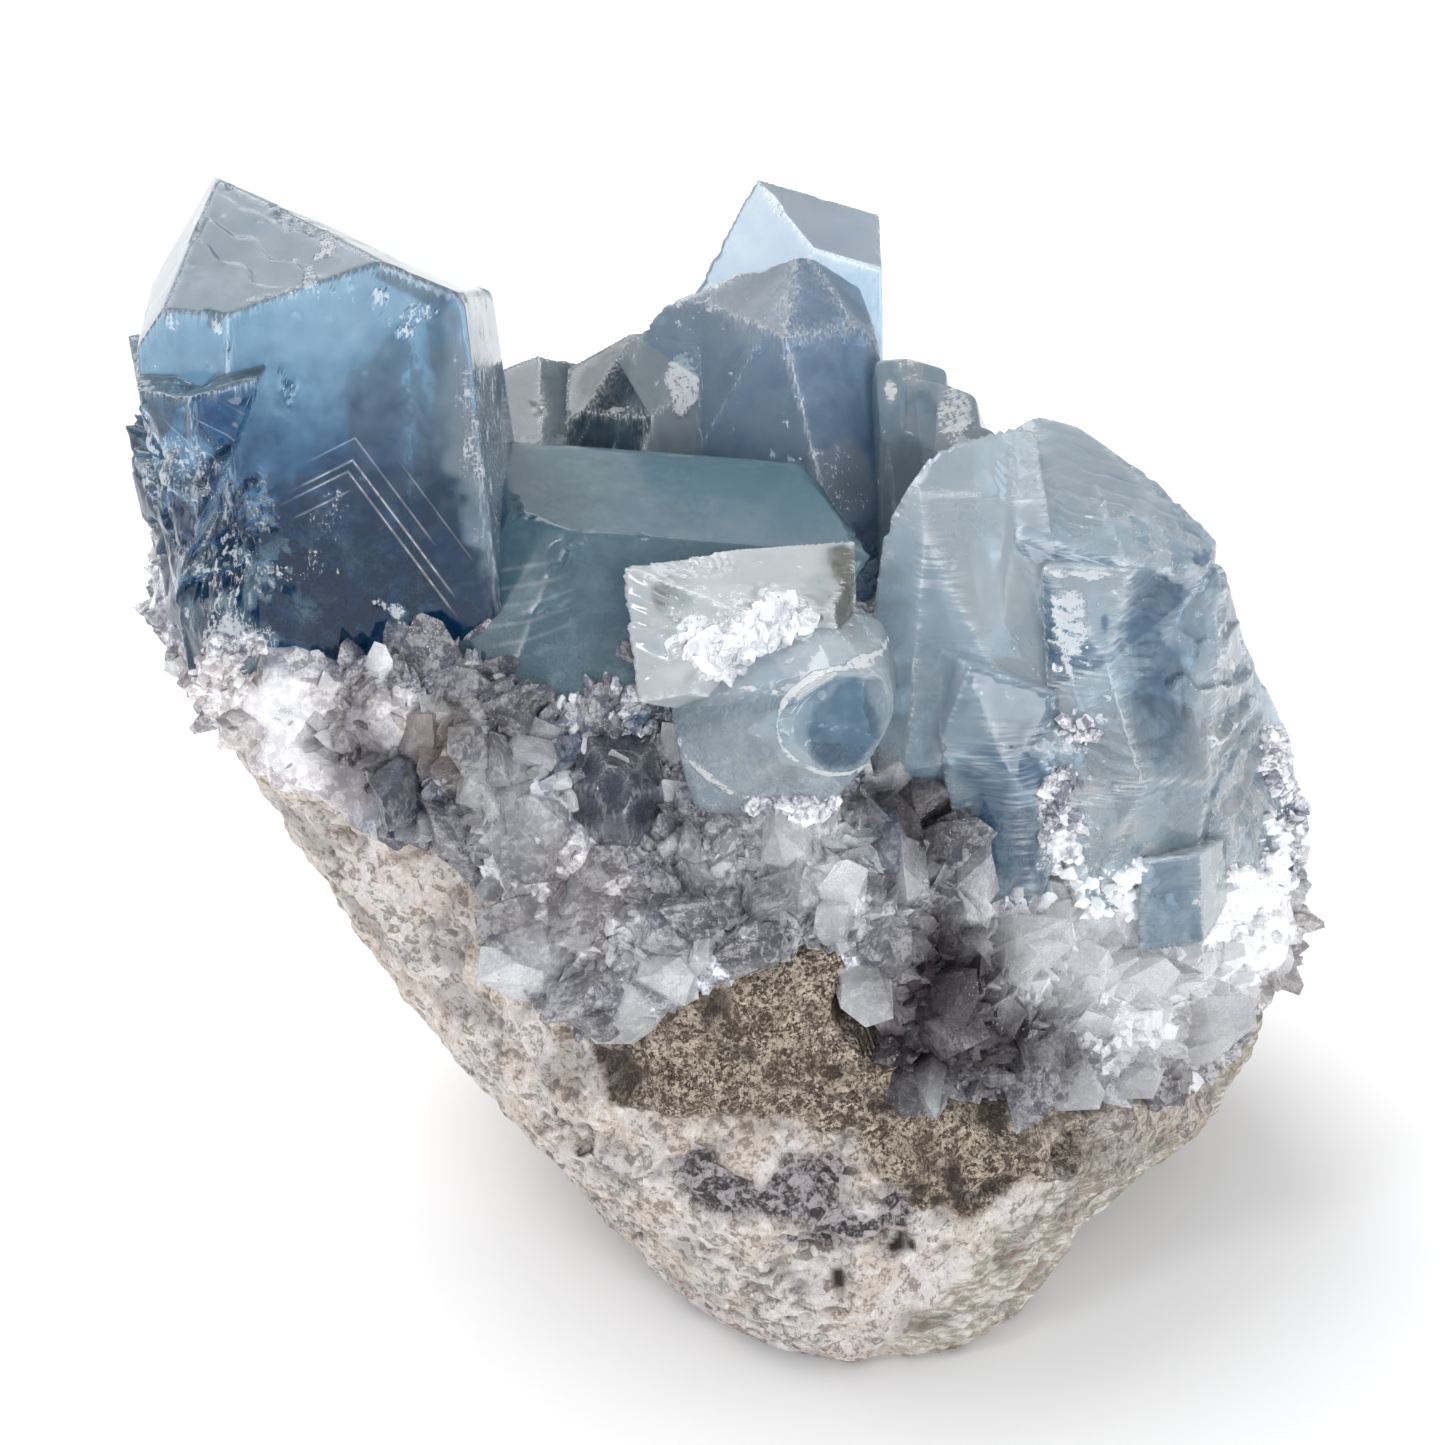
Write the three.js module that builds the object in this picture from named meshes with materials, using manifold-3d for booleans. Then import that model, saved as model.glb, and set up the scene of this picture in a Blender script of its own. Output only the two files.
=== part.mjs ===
// Celestite crystal cluster: blue crystals standing on a drusy crust over a wedge of stone.
// Millimetres, +Z up, -Y is the front, +X is the longest way.

import * as THREE from 'three';
import { ConvexGeometry } from 'three/addons/geometries/ConvexGeometry.js';
import { ConvexHull } from 'three/addons/math/ConvexHull.js';
import { mergeVertices } from 'three/addons/utils/BufferGeometryUtils.js';
import Module from 'manifold-3d';

const wasm = await Module();
wasm.setup();

// Sizes. Pieces that are grown against each other keep GAP between them.

const GAP = 0.3;
const STONE_AXIS_X = 5;
const RING_STEPS = 48;
const RING_SWING = 0.4;
const STONE_ROWS = 9;
const CRUST_ROWS = 7;
const STONE_ROUGHNESS = 0.55;
const CRUST_ROUGHNESS = 0.5;
const UNDER_CRUST_SHARES = [0.75, 0.45, 0.2];
const DRUSE_CRYSTALS = 74;
const DRUSE_SEED = 20;

// Outlines of the stone, each a loop of [bearing in degrees, reach in mm, height in mm].
// Bearings run from +X towards +Y about the upright axis at STONE_AXIS_X.

const BASE_RING = [
  [0, 23.5, 0], [30, 24, 0], [60, 22, 0], [90, 20, 0], [120, 20, 0], [150, 18, 0],
  [180, 13.5, 0], [210, 12.5, 0], [240, 17, 0], [255, 21, 0], [270, 24, 0], [285, 25, 0],
  [300, 24.5, 0], [315, 21.5, 0], [330, 19.5, 0],
];

const FOOT_RING = [
  [0, 25, 2.5], [30, 25.5, 3], [60, 23.5, 3], [90, 21.5, 3], [120, 22, 3], [150, 20.5, 3],
  [180, 16.5, 3], [210, 16.5, 3.5], [240, 20.5, 3], [255, 23.5, 2.5], [270, 26, 2],
  [285, 26.5, 2], [300, 25.5, 2], [315, 23, 2], [330, 21.5, 2],
];

const BULGE_RING = [
  [0, 29.5, 7], [30, 29.5, 9], [60, 27, 11], [90, 24.5, 13], [120, 28, 14], [150, 29, 16],
  [180, 27.5, 17], [195, 27.5, 18], [210, 25.5, 15], [225, 24, 12.5], [240, 25, 12],
  [255, 26, 12.5], [270, 27, 13], [285, 26.5, 9], [300, 25.5, 8], [315, 24.5, 6],
  [330, 24.8, 5], [345, 27, 5.5],
];

const CONTACT_RING = [
  [0, 30.6, 12], [30, 30.5, 15.5], [60, 28, 21], [90, 26, 26], [120, 31, 30], [150, 35.5, 33.5],
  [180, 38.6, 36.2], [195, 34.4, 33.2], [208, 28.2, 30.6], [217, 25.4, 30], [228, 24.5, 26],
  [236, 24.5, 21.6], [246, 24.2, 22.8], [255, 24, 25.6], [265, 22.4, 27.2], [275, 21.6, 27.5],
  [281, 23.2, 21.6], [289, 23.7, 18], [304, 23.8, 16.1], [325, 24.9, 12.5], [342, 26.2, 9.3],
  [354, 28, 10],
];

// Outlines of the crust above the contact.

const CRUST_SIDE_RING = [
  [0, 32, 16], [30, 31, 20], [60, 28.5, 25.5], [90, 26.5, 30.5], [120, 31.5, 34.5],
  [150, 36.5, 38], [180, 39.2, 40.5], [195, 34.8, 37], [208, 28.4, 34.4], [217, 25.6, 33.5],
  [228, 24.6, 30], [236, 24, 26.5], [246, 23.4, 27], [255, 22.8, 28.5], [265, 21.6, 29.8],
  [275, 21.2, 29.8], [289, 23.2, 23], [304, 23.6, 20], [325, 25.4, 16.5], [342, 27.5, 14],
];

const SHOULDER_RING = [
  [0, 29.5, 22], [30, 28, 25], [60, 25.5, 29.5], [90, 24, 33.5], [120, 28.5, 37.5],
  [150, 33.5, 40.5], [180, 36.5, 43], [195, 32, 41], [210, 25.5, 38.5], [225, 21.5, 36],
  [240, 20, 33.5], [255, 18, 34.5], [270, 17.2, 34.5], [285, 18.5, 31], [300, 19.5, 27.5],
  [315, 21, 24.5], [330, 23.5, 22], [345, 26.5, 20.5],
];

const PLATEAU_RING = [
  [0, 17, 28], [30, 16.5, 30], [60, 15, 33], [90, 14, 36], [120, 16, 38.5], [150, 19, 40],
  [180, 20, 40.5], [210, 16, 39.5], [240, 11.5, 38], [270, 9.5, 37], [300, 11, 34],
  [330, 14, 30],
];

const STONE_TOP_HEIGHT = 27;
const CRUST_TOP_HEIGHT = 37;

// A steady stream of numbers between 0 and 1, the same on every run.

function makeChance(seed) {
  let state = seed;
  return () => {
    state = (state * 16807) % 2147483647;
    return state / 2147483647;
  };
}

// Reach and height of a ring at any bearing: a smooth curve through its listed bearings that
// stays within RING_SWING of the two values it lies between.

function ringAt(ring, bearing) {
  const count = ring.length;
  const turned = ring.map(([start]) => (bearing - start + 360) % 360);
  const at = turned.indexOf(Math.min(...turned));
  const [before, from, to, after] = [-1, 0, 1, 2].map((step) => ring[(at + step + count) % count]);
  const t = turned[at] / ((to[0] - from[0] + 360) % 360);
  const [reach, height] = [1, 2].map((k) => {
    const smooth = smoothBetween(before[k], from[k], to[k], after[k], t);
    const low = Math.min(from[k], to[k]) - RING_SWING;
    const high = Math.max(from[k], to[k]) + RING_SWING;
    return THREE.MathUtils.clamp(smooth, low, high);
  });
  return new THREE.Vector2(reach, height);
}

// The cubic from b to c whose slopes follow the neighbours a and d.

function smoothBetween(a, b, c, d, t) {
  const square = t * t;
  const cube = square * t;
  return (
    b * (2 * cube - 3 * square + 1) +
    ((c - a) / 2) * (cube - 2 * square + t) +
    c * (3 * square - 2 * cube) +
    ((d - b) / 2) * (cube - square)
  );
}

// Bumps at a point: coarse, medium and fine crossed waves that together reach about `size` mm.

function bumps(point, size) {
  const coarse =
    Math.sin(point.x * 0.61 + point.z * 0.43 + 1.3) * Math.sin(point.y * 0.57 - point.z * 0.31 + 0.4);
  const medium =
    Math.sin(point.x * 1.37 - point.y * 0.92 + 2.1) * Math.sin(point.z * 1.51 + point.y * 0.83);
  const fine = Math.sin(point.x * 2.9 + 0.7) * Math.sin(point.y * 3.1 + 1.9) * Math.sin(point.z * 2.7);
  return size * (0.5 * coarse + 0.35 * medium + 0.3 * fine);
}

// A closed solid through stacked loops of points, with a centre point under and over it.
// Each four-sided patch is split along its shorter diagonal.

function solidFromLoops(loops, lowCentre, highCentre) {
  const positions = [];
  const index = [];
  for (const loop of loops) {
    for (const point of loop) {
      positions.push(point.x, point.y, point.z);
    }
  }
  const low = positions.length / 3;
  positions.push(lowCentre.x, lowCentre.y, lowCentre.z);
  const high = low + 1;
  positions.push(highCentre.x, highCentre.y, highCentre.z);
  const steps = loops[0].length;
  for (let i = 0; i < steps; i += 1) {
    const j = (i + 1) % steps;
    index.push(low, j, i);
    for (let row = 0; row + 1 < loops.length; row += 1) {
      const a = row * steps + i;
      const b = row * steps + j;
      const c = a + steps;
      const d = b + steps;
      const rising = loops[row][i].distanceTo(loops[row + 1][j]);
      const falling = loops[row][j].distanceTo(loops[row + 1][i]);
      if (rising < falling) {
        index.push(a, b, d, a, d, c);
      } else {
        index.push(a, b, c, b, d, c);
      }
    }
    const top = (loops.length - 1) * steps;
    index.push(high, top + i, top + j);
  }
  const geometry = new THREE.BufferGeometry();
  geometry.setAttribute('position', new THREE.Float32BufferAttribute(positions, 3));
  geometry.setIndex(index);
  return toSolid(geometry);
}

function toSolid(geometry) {
  const bare = geometry.clone();
  bare.deleteAttribute('normal');
  bare.deleteAttribute('uv');
  const merged = mergeVertices(bare, 1e-4);
  return new wasm.Manifold(
    new wasm.Mesh({
      numProp: 3,
      vertProperties: new Float32Array(merged.attributes.position.array),
      triVerts: new Uint32Array(merged.index.array),
    })
  );
}

function toGeometry(solid) {
  const mesh = solid.getMesh();
  const geometry = new THREE.BufferGeometry();
  geometry.setAttribute('position', new THREE.BufferAttribute(mesh.vertProperties, 3));
  geometry.setIndex(new THREE.BufferAttribute(mesh.triVerts, 1));
  geometry.computeVertexNormals();
  return geometry;
}

// One loop of points round the stone or crust, at a share of the way up its profile. The bumps
// push points out and a little up; swell pushes all of them out.

function loopPoints(profileAt, along, roughness, swell = 0) {
  const loop = [];
  for (let i = 0; i < RING_STEPS; i += 1) {
    const bearing = (360 * i) / RING_STEPS;
    const spot = profileAt(bearing, along);
    const angle = THREE.MathUtils.degToRad(bearing);
    const point = new THREE.Vector3(
      STONE_AXIS_X + spot.x * Math.cos(angle),
      spot.x * Math.sin(angle),
      spot.y
    );
    const push = bumps(point, roughness);
    point.x += (push + swell) * Math.cos(angle);
    point.y += (push + swell) * Math.sin(angle);
    point.z += push * 0.4;
    loop.push(point);
  }
  return loop;
}

// The profile at a bearing is a smooth curve through the rings, from the lowest to the highest.

function profileThrough(rings) {
  return (bearing, along) => {
    const spots = rings.map((ring) => ringAt(ring, bearing));
    const curve = new THREE.SplineCurve(spots);
    return curve.getPoint(along);
  };
}

// The contact surface between stone and crust: the contact ring shrunk towards the axis.

function contactLoops(lift) {
  return UNDER_CRUST_SHARES.map((share) => {
    const shrunk = (bearing) => {
      const edge = ringAt(CONTACT_RING, bearing);
      const height = THREE.MathUtils.lerp(STONE_TOP_HEIGHT, edge.y, share * share);
      return new THREE.Vector2(edge.x * share, height + lift);
    };
    return loopPoints(shrunk, 0, 0);
  });
}

function liftedContact(lift) {
  return CONTACT_RING.map(([bearing, reach, height]) => [bearing, reach, height + lift]);
}

function buildStoneBody(lift, swell) {
  const side = profileThrough([BASE_RING, FOOT_RING, BULGE_RING, liftedContact(lift)]);
  const loops = [];
  for (let row = 0; row <= STONE_ROWS; row += 1) {
    const along = row / STONE_ROWS;
    const edge = row === 0 || row === STONE_ROWS ? 0 : 1;
    loops.push(loopPoints(side, along, STONE_ROUGHNESS * edge, swell));
  }
  loops.push(...contactLoops(lift));
  return solidFromLoops(
    loops,
    new THREE.Vector3(STONE_AXIS_X, 0, 0),
    new THREE.Vector3(STONE_AXIS_X, 0, STONE_TOP_HEIGHT + lift)
  );
}

function buildCrustBody() {
  const side = profileThrough([liftedContact(GAP), CRUST_SIDE_RING, SHOULDER_RING, PLATEAU_RING]);
  const loops = [...contactLoops(GAP)].reverse();
  for (let row = 0; row <= CRUST_ROWS; row += 1) {
    const along = row / CRUST_ROWS;
    const edge = row === 0 ? 0 : 1;
    loops.push(loopPoints(side, along, CRUST_ROUGHNESS * edge));
  }
  return solidFromLoops(
    loops,
    new THREE.Vector3(STONE_AXIS_X, 0, STONE_TOP_HEIGHT + GAP),
    new THREE.Vector3(STONE_AXIS_X, 0, CRUST_TOP_HEIGHT)
  );
}

// Crystals. Every crystal is the space inside its flat faces. A face in `faces` goes through
// three named corners. One in `hidden` is [bearing, rise, distance]: the way it looks, in degrees
// about the upright and up from level, and how far it lies from the crystal's heart. A broken
// crystal lists no faces and is the simplest lump round its corners.

function facePlanes(crystal, grow) {
  const corners = Object.values(crystal.corners).map((corner) => new THREE.Vector3(...corner));
  const heart = new THREE.Vector3();
  corners.forEach((corner) => heart.addScaledVector(corner, 1 / corners.length));
  const planes = crystal.faces
    ? crystal.faces.map((names) => planeThrough(names, crystal.corners, heart))
    : new ConvexHull().setFromPoints(corners).faces.map(planeOfHullFace);
  for (const [bearing, rise, distance] of crystal.hidden ?? []) {
    const normal = wayTo(bearing, rise);
    planes.push(new THREE.Plane(normal, -normal.dot(heart) - distance));
  }
  planes.forEach((plane) => {
    plane.constant -= grow;
  });
  return planes;
}

function planeThrough(names, corners, heart) {
  const [a, b, c] = names.split(' ').map((name) => new THREE.Vector3(...corners[name]));
  const plane = new THREE.Plane().setFromCoplanarPoints(a, b, c);
  return plane.distanceToPoint(heart) > 0 ? plane.negate() : plane;
}

function planeOfHullFace(face) {
  return new THREE.Plane(face.normal.clone(), -face.normal.dot(face.midpoint));
}

function meetingPoint(p, q, r) {
  const crossed = new THREE.Vector3().crossVectors(q.normal, r.normal);
  const scale = p.normal.dot(crossed);
  if (Math.abs(scale) < 1e-4) {
    return null;
  }
  return crossed
    .multiplyScalar(-p.constant)
    .addScaledVector(new THREE.Vector3().crossVectors(r.normal, p.normal), -q.constant)
    .addScaledVector(new THREE.Vector3().crossVectors(p.normal, q.normal), -r.constant)
    .divideScalar(scale);
}

function crystalSolid(crystal, grow = 0) {
  return solidInside(facePlanes(crystal, grow));
}

function solidInside(planes) {
  const points = [];
  for (let i = 0; i < planes.length; i += 1) {
    for (let j = i + 1; j < planes.length; j += 1) {
      for (let k = j + 1; k < planes.length; k += 1) {
        const point = meetingPoint(planes[i], planes[j], planes[k]);
        const inside = point && planes.every((plane) => plane.distanceToPoint(point) < 1e-3);
        if (inside && points.every((other) => other.distanceTo(point) > 0.05)) {
          points.push(point);
        }
      }
    }
  }
  return toSolid(new ConvexGeometry(points));
}

// Several overlapping crystals as one solid.

function grownTogether(crystals, grow = 0) {
  return crystals.map((crystal) => crystalSolid(crystal, grow)).reduce((a, b) => a.add(b));
}

// Corners in millimetres; x is level to the right, y level to the back and z up from the base.

const LEFT_TALL = {
  corners: {
    gable: [-19.1, -9, 65.4],
    ridgeEnd: [-29.1, 2, 65.7],
    shoulderRight: [-14.7, -8.5, 63.5],
    backRight: [-14.9, 6, 57.6],
    edgeRight: [-13.9, -9, 54.1],
    lowRight: [-12.7, 3, 45],
    shoulderLeft: [-27.9, -9.5, 62.4],
    bevelTop: [-29.6, 1.4, 65.7],
    bevelLeft: [-33.9, -2, 58.7],
    bevelFront: [-31.7, -7.5, 62.1],
    sideLow: [-32.6, -5, 46],
    sideBack: [-33.4, 4, 50],
    frontLow: [-29, -10.2, 46],
    foot: [-21.6, -10, 38.3],
  },
  faces: [
    'shoulderLeft edgeRight foot',
    'ridgeEnd gable shoulderLeft',
    'ridgeEnd gable backRight',
    'shoulderRight edgeRight lowRight',
    'bevelTop bevelLeft bevelFront',
    'bevelLeft sideLow sideBack',
    'bevelFront shoulderLeft frontLow',
  ],
  hidden: [[95, 12, 11], [140, 18, 12.5], [60, 8, 13], [0, -90, 18]],
};

const LEFT_STEP = {
  corners: {
    topLeft: [-34.6, -3, 57.1],
    topFront: [-33.4, -9, 57.4],
    topMid: [-30.1, -11.5, 58.7],
    topRight: [-26, -11, 59.2],
    rightLow: [-25.2, -11.8, 52],
    frontMid: [-30.6, -13, 49],
    frontLow: [-27, -13.6, 42],
    leftLow: [-32.6, -8, 46],
    leftBack: [-33.4, 2, 48],
    foot: [-31.6, -8, 39],
  },
  faces: [
    'topLeft topFront topRight',
    'topMid topRight frontMid',
    'topFront topMid frontMid',
    'topLeft topFront leftLow',
    'topRight rightLow frontLow',
  ],
  hidden: [[0, 0, 7], [90, 5, 9], [0, -90, 12], [215, -20, 5.5]],
};

const MIDDLE_WIDE = {
  corners: {
    ridgeLeft: [-14.5, 5, 47.6],
    ridgeRight: [5, 5, 46],
    backLow: [-4, 8.4, 38],
    shoulderRight: [7.3, -4, 45.7],
    foldLeft: [-14.6, -7, 44.8],
    peak: [-9, -7.5, 47.7],
    foldRight: [2, -8, 46.4],
    frontLow: [-7.7, -13, 38.9],
    leftLow: [-18.4, -9.5, 39.6],
    rightLow: [3, -13, 38.5],
  },
  faces: [
    'ridgeLeft ridgeRight peak',
    'peak foldRight frontLow',
    'foldLeft peak leftLow',
    'foldLeft leftLow ridgeLeft',
    'ridgeRight shoulderRight rightLow',
    'ridgeLeft ridgeRight backLow',
  ],
  hidden: [[270, -10, 10.5], [0, -90, 11], [182, -6, 13.5]],
};

const FRONT_CLEAR = {
  corners: {
    topLeft: [-5.2, -12, 47.7],
    topHump: [-3.3, -10.5, 48.1],
    topMid: [0.7, -8, 47.9],
    topRight: [7.3, -7, 47.2],
    cornerRight: [8.2, -8.5, 46.9],
    lowRight: [8.2, -11, 42],
    lipRight: [6.4, -14.6, 46.2],
    lipMid: [1.2, -16, 46.8],
    frontRight: [3.6, -16.6, 44.7],
    frontMid: [-1.1, -17, 43.4],
    frontLeft: [-4.5, -15.6, 42.1],
    sideLeft: [-5.6, -13.6, 45.6],
    foot: [-2.6, -15.6, 40.4],
  },
  faces: [
    'topLeft topMid lipMid',
    'topMid topRight lipRight',
    'lipRight lipMid frontMid',
    'lipRight cornerRight lowRight',
    'sideLeft topLeft frontLeft',
    'lipMid sideLeft frontMid',
    'frontLeft foot sideLeft',
  ],
  hidden: [[90, 10, 6], [0, 2, 6.8], [0, -90, 9], [270, -35, 5.5]],
};

const FRONT_ROUNDED = {
  corners: {
    rimA: [4, -22.6, 41.8],
    rimB: [4.4, -21.8, 44.6],
    rimC: [6.6, -20.6, 45.4],
    rimD: [9.2, -19.6, 44.4],
    rimE: [9.9, -19.2, 42],
    rimF: [8.6, -20.4, 39.6],
    rimG: [5.8, -21.8, 39.6],
    topLeft: [-2.5, -14, 41.6],
    topBack: [1, -11, 44],
    backRight: [9.4, -11, 43.6],
    leftTip: [-3.1, -16.6, 40],
    leftLow: [-3.1, -18, 39.2],
    keel: [0.3, -20.6, 37.4],
    keelEnd: [5.5, -20.4, 35.9],
    foot: [8, -15, 36],
  },
  faces: [
    'rimA rimC rimE',
    'rimB topLeft topBack',
    'rimC rimB topBack',
    'rimC rimD backRight',
    'rimD rimE backRight',
    'rimE rimF foot',
    'rimF keelEnd foot',
    'rimA leftLow keel',
    'rimB leftTip leftLow',
    'rimG keel keelEnd',
  ],
  hidden: [[90, 5, 8], [0, -90, 5.5], [180, -15, 7.2]],
};

const REAR_FRONT_TWIN = {
  corners: {
    apex: [4.9, 16, 56.1],
    apexLeft: [1.6, 18, 55.1],
    frontLeft: [-2.8, 13, 53.9],
    frontLow: [3.9, 10.5, 51.8],
    rightTop: [8.2, 16, 52.7],
    rightFront: [8.4, 13, 51.5],
    rightLow: [10.2, 10, 41],
    sideTop: [-4.5, 17, 52.9],
    sideFront: [-5.2, 13, 51.7],
    sideLow: [-6.4, 15, 45],
    foot: [2.7, 9.6, 43.5],
  },
  faces: [
    'apex frontLeft frontLow',
    'apex frontLow rightFront',
    'frontLeft frontLow foot',
    'frontLow rightFront rightLow',
    'sideTop frontLeft sideFront',
    'sideFront sideLow frontLeft',
    'apex rightTop rightFront',
    'apex apexLeft sideTop',
    'sideTop sideFront sideLow',
  ],
  hidden: [[90, 10, 8.5], [15, 2, 7.6], [0, -90, 20], [150, 6, 10]],
};

const REAR_BACK_TWIN = {
  corners: {
    top: [2.1, 21, 58.1],
    topRight: [9.2, 20, 55.7],
    left: [-0.7, 21, 52.5],
    inner: [4.8, 16.5, 56.4],
    rightLow: [10.6, 18, 37],
    leftLow: [-2.5, 21, 46],
  },
  faces: ['top topRight inner', 'top inner left', 'top left leftLow'],
  hidden: [[0, 1, 6.2], [90, 12, 6.5], [270, 0, 4.6], [45, 8, 7.6], [0, -90, 18], [135, 10, 7]],
};

const LEFT_REAR_SMALL = {
  corners: {
    apex: [-6.6, 12, 49.6],
    leftTop: [-9, 12, 48],
    frontTop: [-8.8, 9.6, 47.2],
    frontLow: [-8.6, 9, 44.6],
    middle: [-4.4, 9.4, 46.8],
    middleLow: [-4.6, 9, 43.6],
    rightTop: [-1.8, 11.4, 48.2],
    rightLow: [-1.4, 11, 44],
  },
  faces: [
    'apex leftTop frontTop',
    'apex frontTop middle',
    'frontTop frontLow middle',
    'middle middleLow rightTop',
    'apex middle rightTop',
  ],
  hidden: [[180, 0, 4.2], [90, 10, 3.8], [0, 0, 4.4], [0, -90, 10]],
};

const FAR_LEFT_SMALL = {
  corners: {
    apex: [-11.6, 14.5, 48.3],
    left: [-13.6, 13, 46.4],
    right: [-8.8, 13, 46.6],
    front: [-11.4, 10.6, 46.2],
    frontLow: [-11.4, 10, 42],
  },
  faces: ['apex left front', 'apex front right'],
  hidden: [[200, 0, 3.2], [340, 0, 3.2], [270, 5, 3.2], [90, 15, 3.4], [0, -90, 10]],
};

const RIGHT_GREEN = {
  corners: {
    corner: [9.6, -4, 45.9],
    topLeft: [11.6, -3, 49.2],
    topBack: [12.8, 0, 49.4],
    topRight: [15.5, 1, 49.4],
    front: [12, -6, 46.4],
    topFar: [18.6, -3.5, 47.8],
    foot: [8.8, -8, 40.6],
    keel: [10.7, -14, 36.5],
    keelLow: [13.9, -16, 35],
    right: [18.8, -8.4, 45.4],
  },
  faces: [
    'corner topLeft front',
    'corner topLeft topBack',
    'topLeft front topFar',
    'topBack topRight topFar',
    'front right keelLow',
    'corner front keel',
    'corner foot topBack',
  ],
  hidden: [[0, 10, 6.5], [90, 5, 9], [0, -90, 17], [270, -28, 11.6]],
};

const RIGHT_SLAB = {
  corners: {
    ridgeA: [17.1, 3, 49],
    ridgeB: [19.3, 4, 49.6],
    ridgeC: [21.6, 4, 49],
    ridgeD: [24.1, 3, 47.5],
    ridgeE: [26.5, 2, 46.1],
    ridgeF: [28.1, 1, 44.5],
    ridgeG: [30.2, 0, 43],
    frontLeft: [17.4, -6, 46.4],
    frontMid: [24, -6, 44.8],
    frontRight: [29, -4, 42.6],
    lowFront: [22, -10, 37],
    lowRight: [29.5, -2, 36],
    backLeft: [17.5, 9, 39],
    backRight: [28, 8, 36],
    lowLeft: [16, -4, 36],
    lowBack: [22, 9, 34],
  },
};

const RIGHT_SHELL = {
  corners: {
    topLeft: [18.7, -8, 45.6],
    topMid: [24.3, -6.5, 44.6],
    topRight: [30.6, -1, 41.9],
    sideTop: [30.6, -1, 39.3],
    sideMid: [32.2, -2, 35.6],
    sideLow: [33.4, -1, 32],
    brow: [22.4, -13.4, 42],
    browLeft: [18.9, -13, 40],
    bellyLeft: [19.4, -15.4, 33],
    belly: [24.6, -16, 35.5],
    bellyRight: [29, -12, 33],
    lowLeft: [22, -15.6, 26],
    lowRight: [28.4, -11.6, 25],
    backTop: [24, 4, 42],
    backRight: [31, 5, 33],
    backLow: [25, 5, 25],
    foot: [20, -4, 26],
  },
};

const RIGHT_FOOT = {
  corners: {
    top: [14.4, -13.4, 42],
    topRight: [19.6, -13.4, 40],
    left: [12.6, -15, 37.4],
    front: [17, -16, 36],
    right: [20.2, -15.4, 32],
    low: [18.6, -16.4, 26],
    lowLeft: [14.8, -16.2, 27.6],
    backTopLeft: [13, -8, 40],
    backTopRight: [21, -8, 38],
    backLow: [21, -9, 25.5],
    backLowLeft: [13.4, -9, 27.6],
  },
};

const RIGHT_WING = {
  corners: {
    top: [31.2, -1, 38.4],
    shoulder: [33.6, 0, 32.3],
    outer: [35.7, 1, 28.6],
    outerLow: [35.9, 0, 24.5],
    tip: [37.2, 2, 20.6],
    tipLow: [37.2, 0, 18.9],
    tipFront: [35.8, -2.4, 18.6],
    frontTop: [29.6, -9.6, 31],
    front: [31.4, -9.4, 26],
    frontLow: [29.4, -10.6, 21],
    backTop: [30, 6, 35],
    back: [35, 6, 25],
    backLow: [35.5, 6.5, 19.4],
    footLeft: [27, 2, 22.4],
    footFront: [26.6, -8, 22],
  },
};

const RIGHT_WINDOW = {
  corners: {
    topLeft: [25.3, -15, 29.6],
    topRight: [28.4, -14.4, 29.6],
    lowLeft: [25.3, -15.8, 25],
    lowRight: [28.8, -14.8, 25],
    side: [30, -11, 28.4],
  },
  faces: ['topLeft topRight lowRight', 'topRight lowRight side', 'topLeft topRight side'],
  hidden: [[180, 0, 2.6], [90, 0, 4.5], [0, -90, 4]],
};

const RIGHT_REAR_BUNCH = [
  {
    corners: {
      apex: [11.7, 12, 51.2],
      left: [10.1, 10.4, 49.4],
      right: [13.6, 11.4, 50],
      front: [11.7, 8.8, 48],
      low: [11.7, 9, 40],
    },
    faces: ['apex left front', 'apex front right'],
    hidden: [[185, 0, 2], [350, 5, 2.5], [270, 5, 2.6], [90, 25, 2.6], [0, -90, 12]],
  },
  {
    corners: {
      apex: [14.2, 12, 49.8],
      left: [12.8, 10, 48],
      right: [15.8, 11, 47.6],
      front: [14.2, 9, 46.6],
      low: [14.2, 9, 39],
    },
    faces: ['apex left front', 'apex front right'],
    hidden: [[190, 0, 2.2], [355, 8, 2], [275, 8, 2.5], [85, 25, 2.4], [0, -90, 12]],
  },
  {
    corners: {
      apex: [15.6, 11, 47.6],
      left: [14.2, 9, 46],
      right: [17.2, 10, 45.4],
      front: [15.6, 8, 44.6],
      low: [15.6, 8, 37],
    },
    faces: ['apex left front', 'apex front right'],
    hidden: [[185, 0, 2.4], [0, 14, 2], [270, 8, 2.4], [90, 25, 2.4], [0, -90, 12]],
  },
];

const DARK_DOME = {
  corners: { heart: [-6.1, -16.6, 34.6] },
  faces: [],
  hidden: [
    [0, 84, 3],
    [200, 44, 2.9],
    [335, 46, 2.8],
    [265, 40, 3],
    [180, 10, 2.8],
    [0, 12, 2.8],
    [222, 8, 2.6],
    [318, 8, 2.6],
    [225, -30, 2.7],
    [320, -28, 2.7],
    [270, -6, 3],
    [268, -46, 2.8],
    [90, 10, 4.4],
    [0, -90, 4],
  ],
};

// Two crystals that stand on the side turned away from the front.

const BACK_LEFT = {
  corners: {
    apex: [-20, 17, 50.5],
    left: [-23.6, 17, 47],
    right: [-16.4, 17, 47.5],
    front: [-20, 13.5, 46.5],
    back: [-20, 21, 46],
    low: [-20, 17, 39],
  },
  faces: ['apex left front', 'apex right front', 'apex left back', 'apex right back'],
  hidden: [[180, 0, 3.8], [0, 0, 3.8], [90, 4, 4], [270, 0, 3.6], [0, -90, 9]],
};

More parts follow.
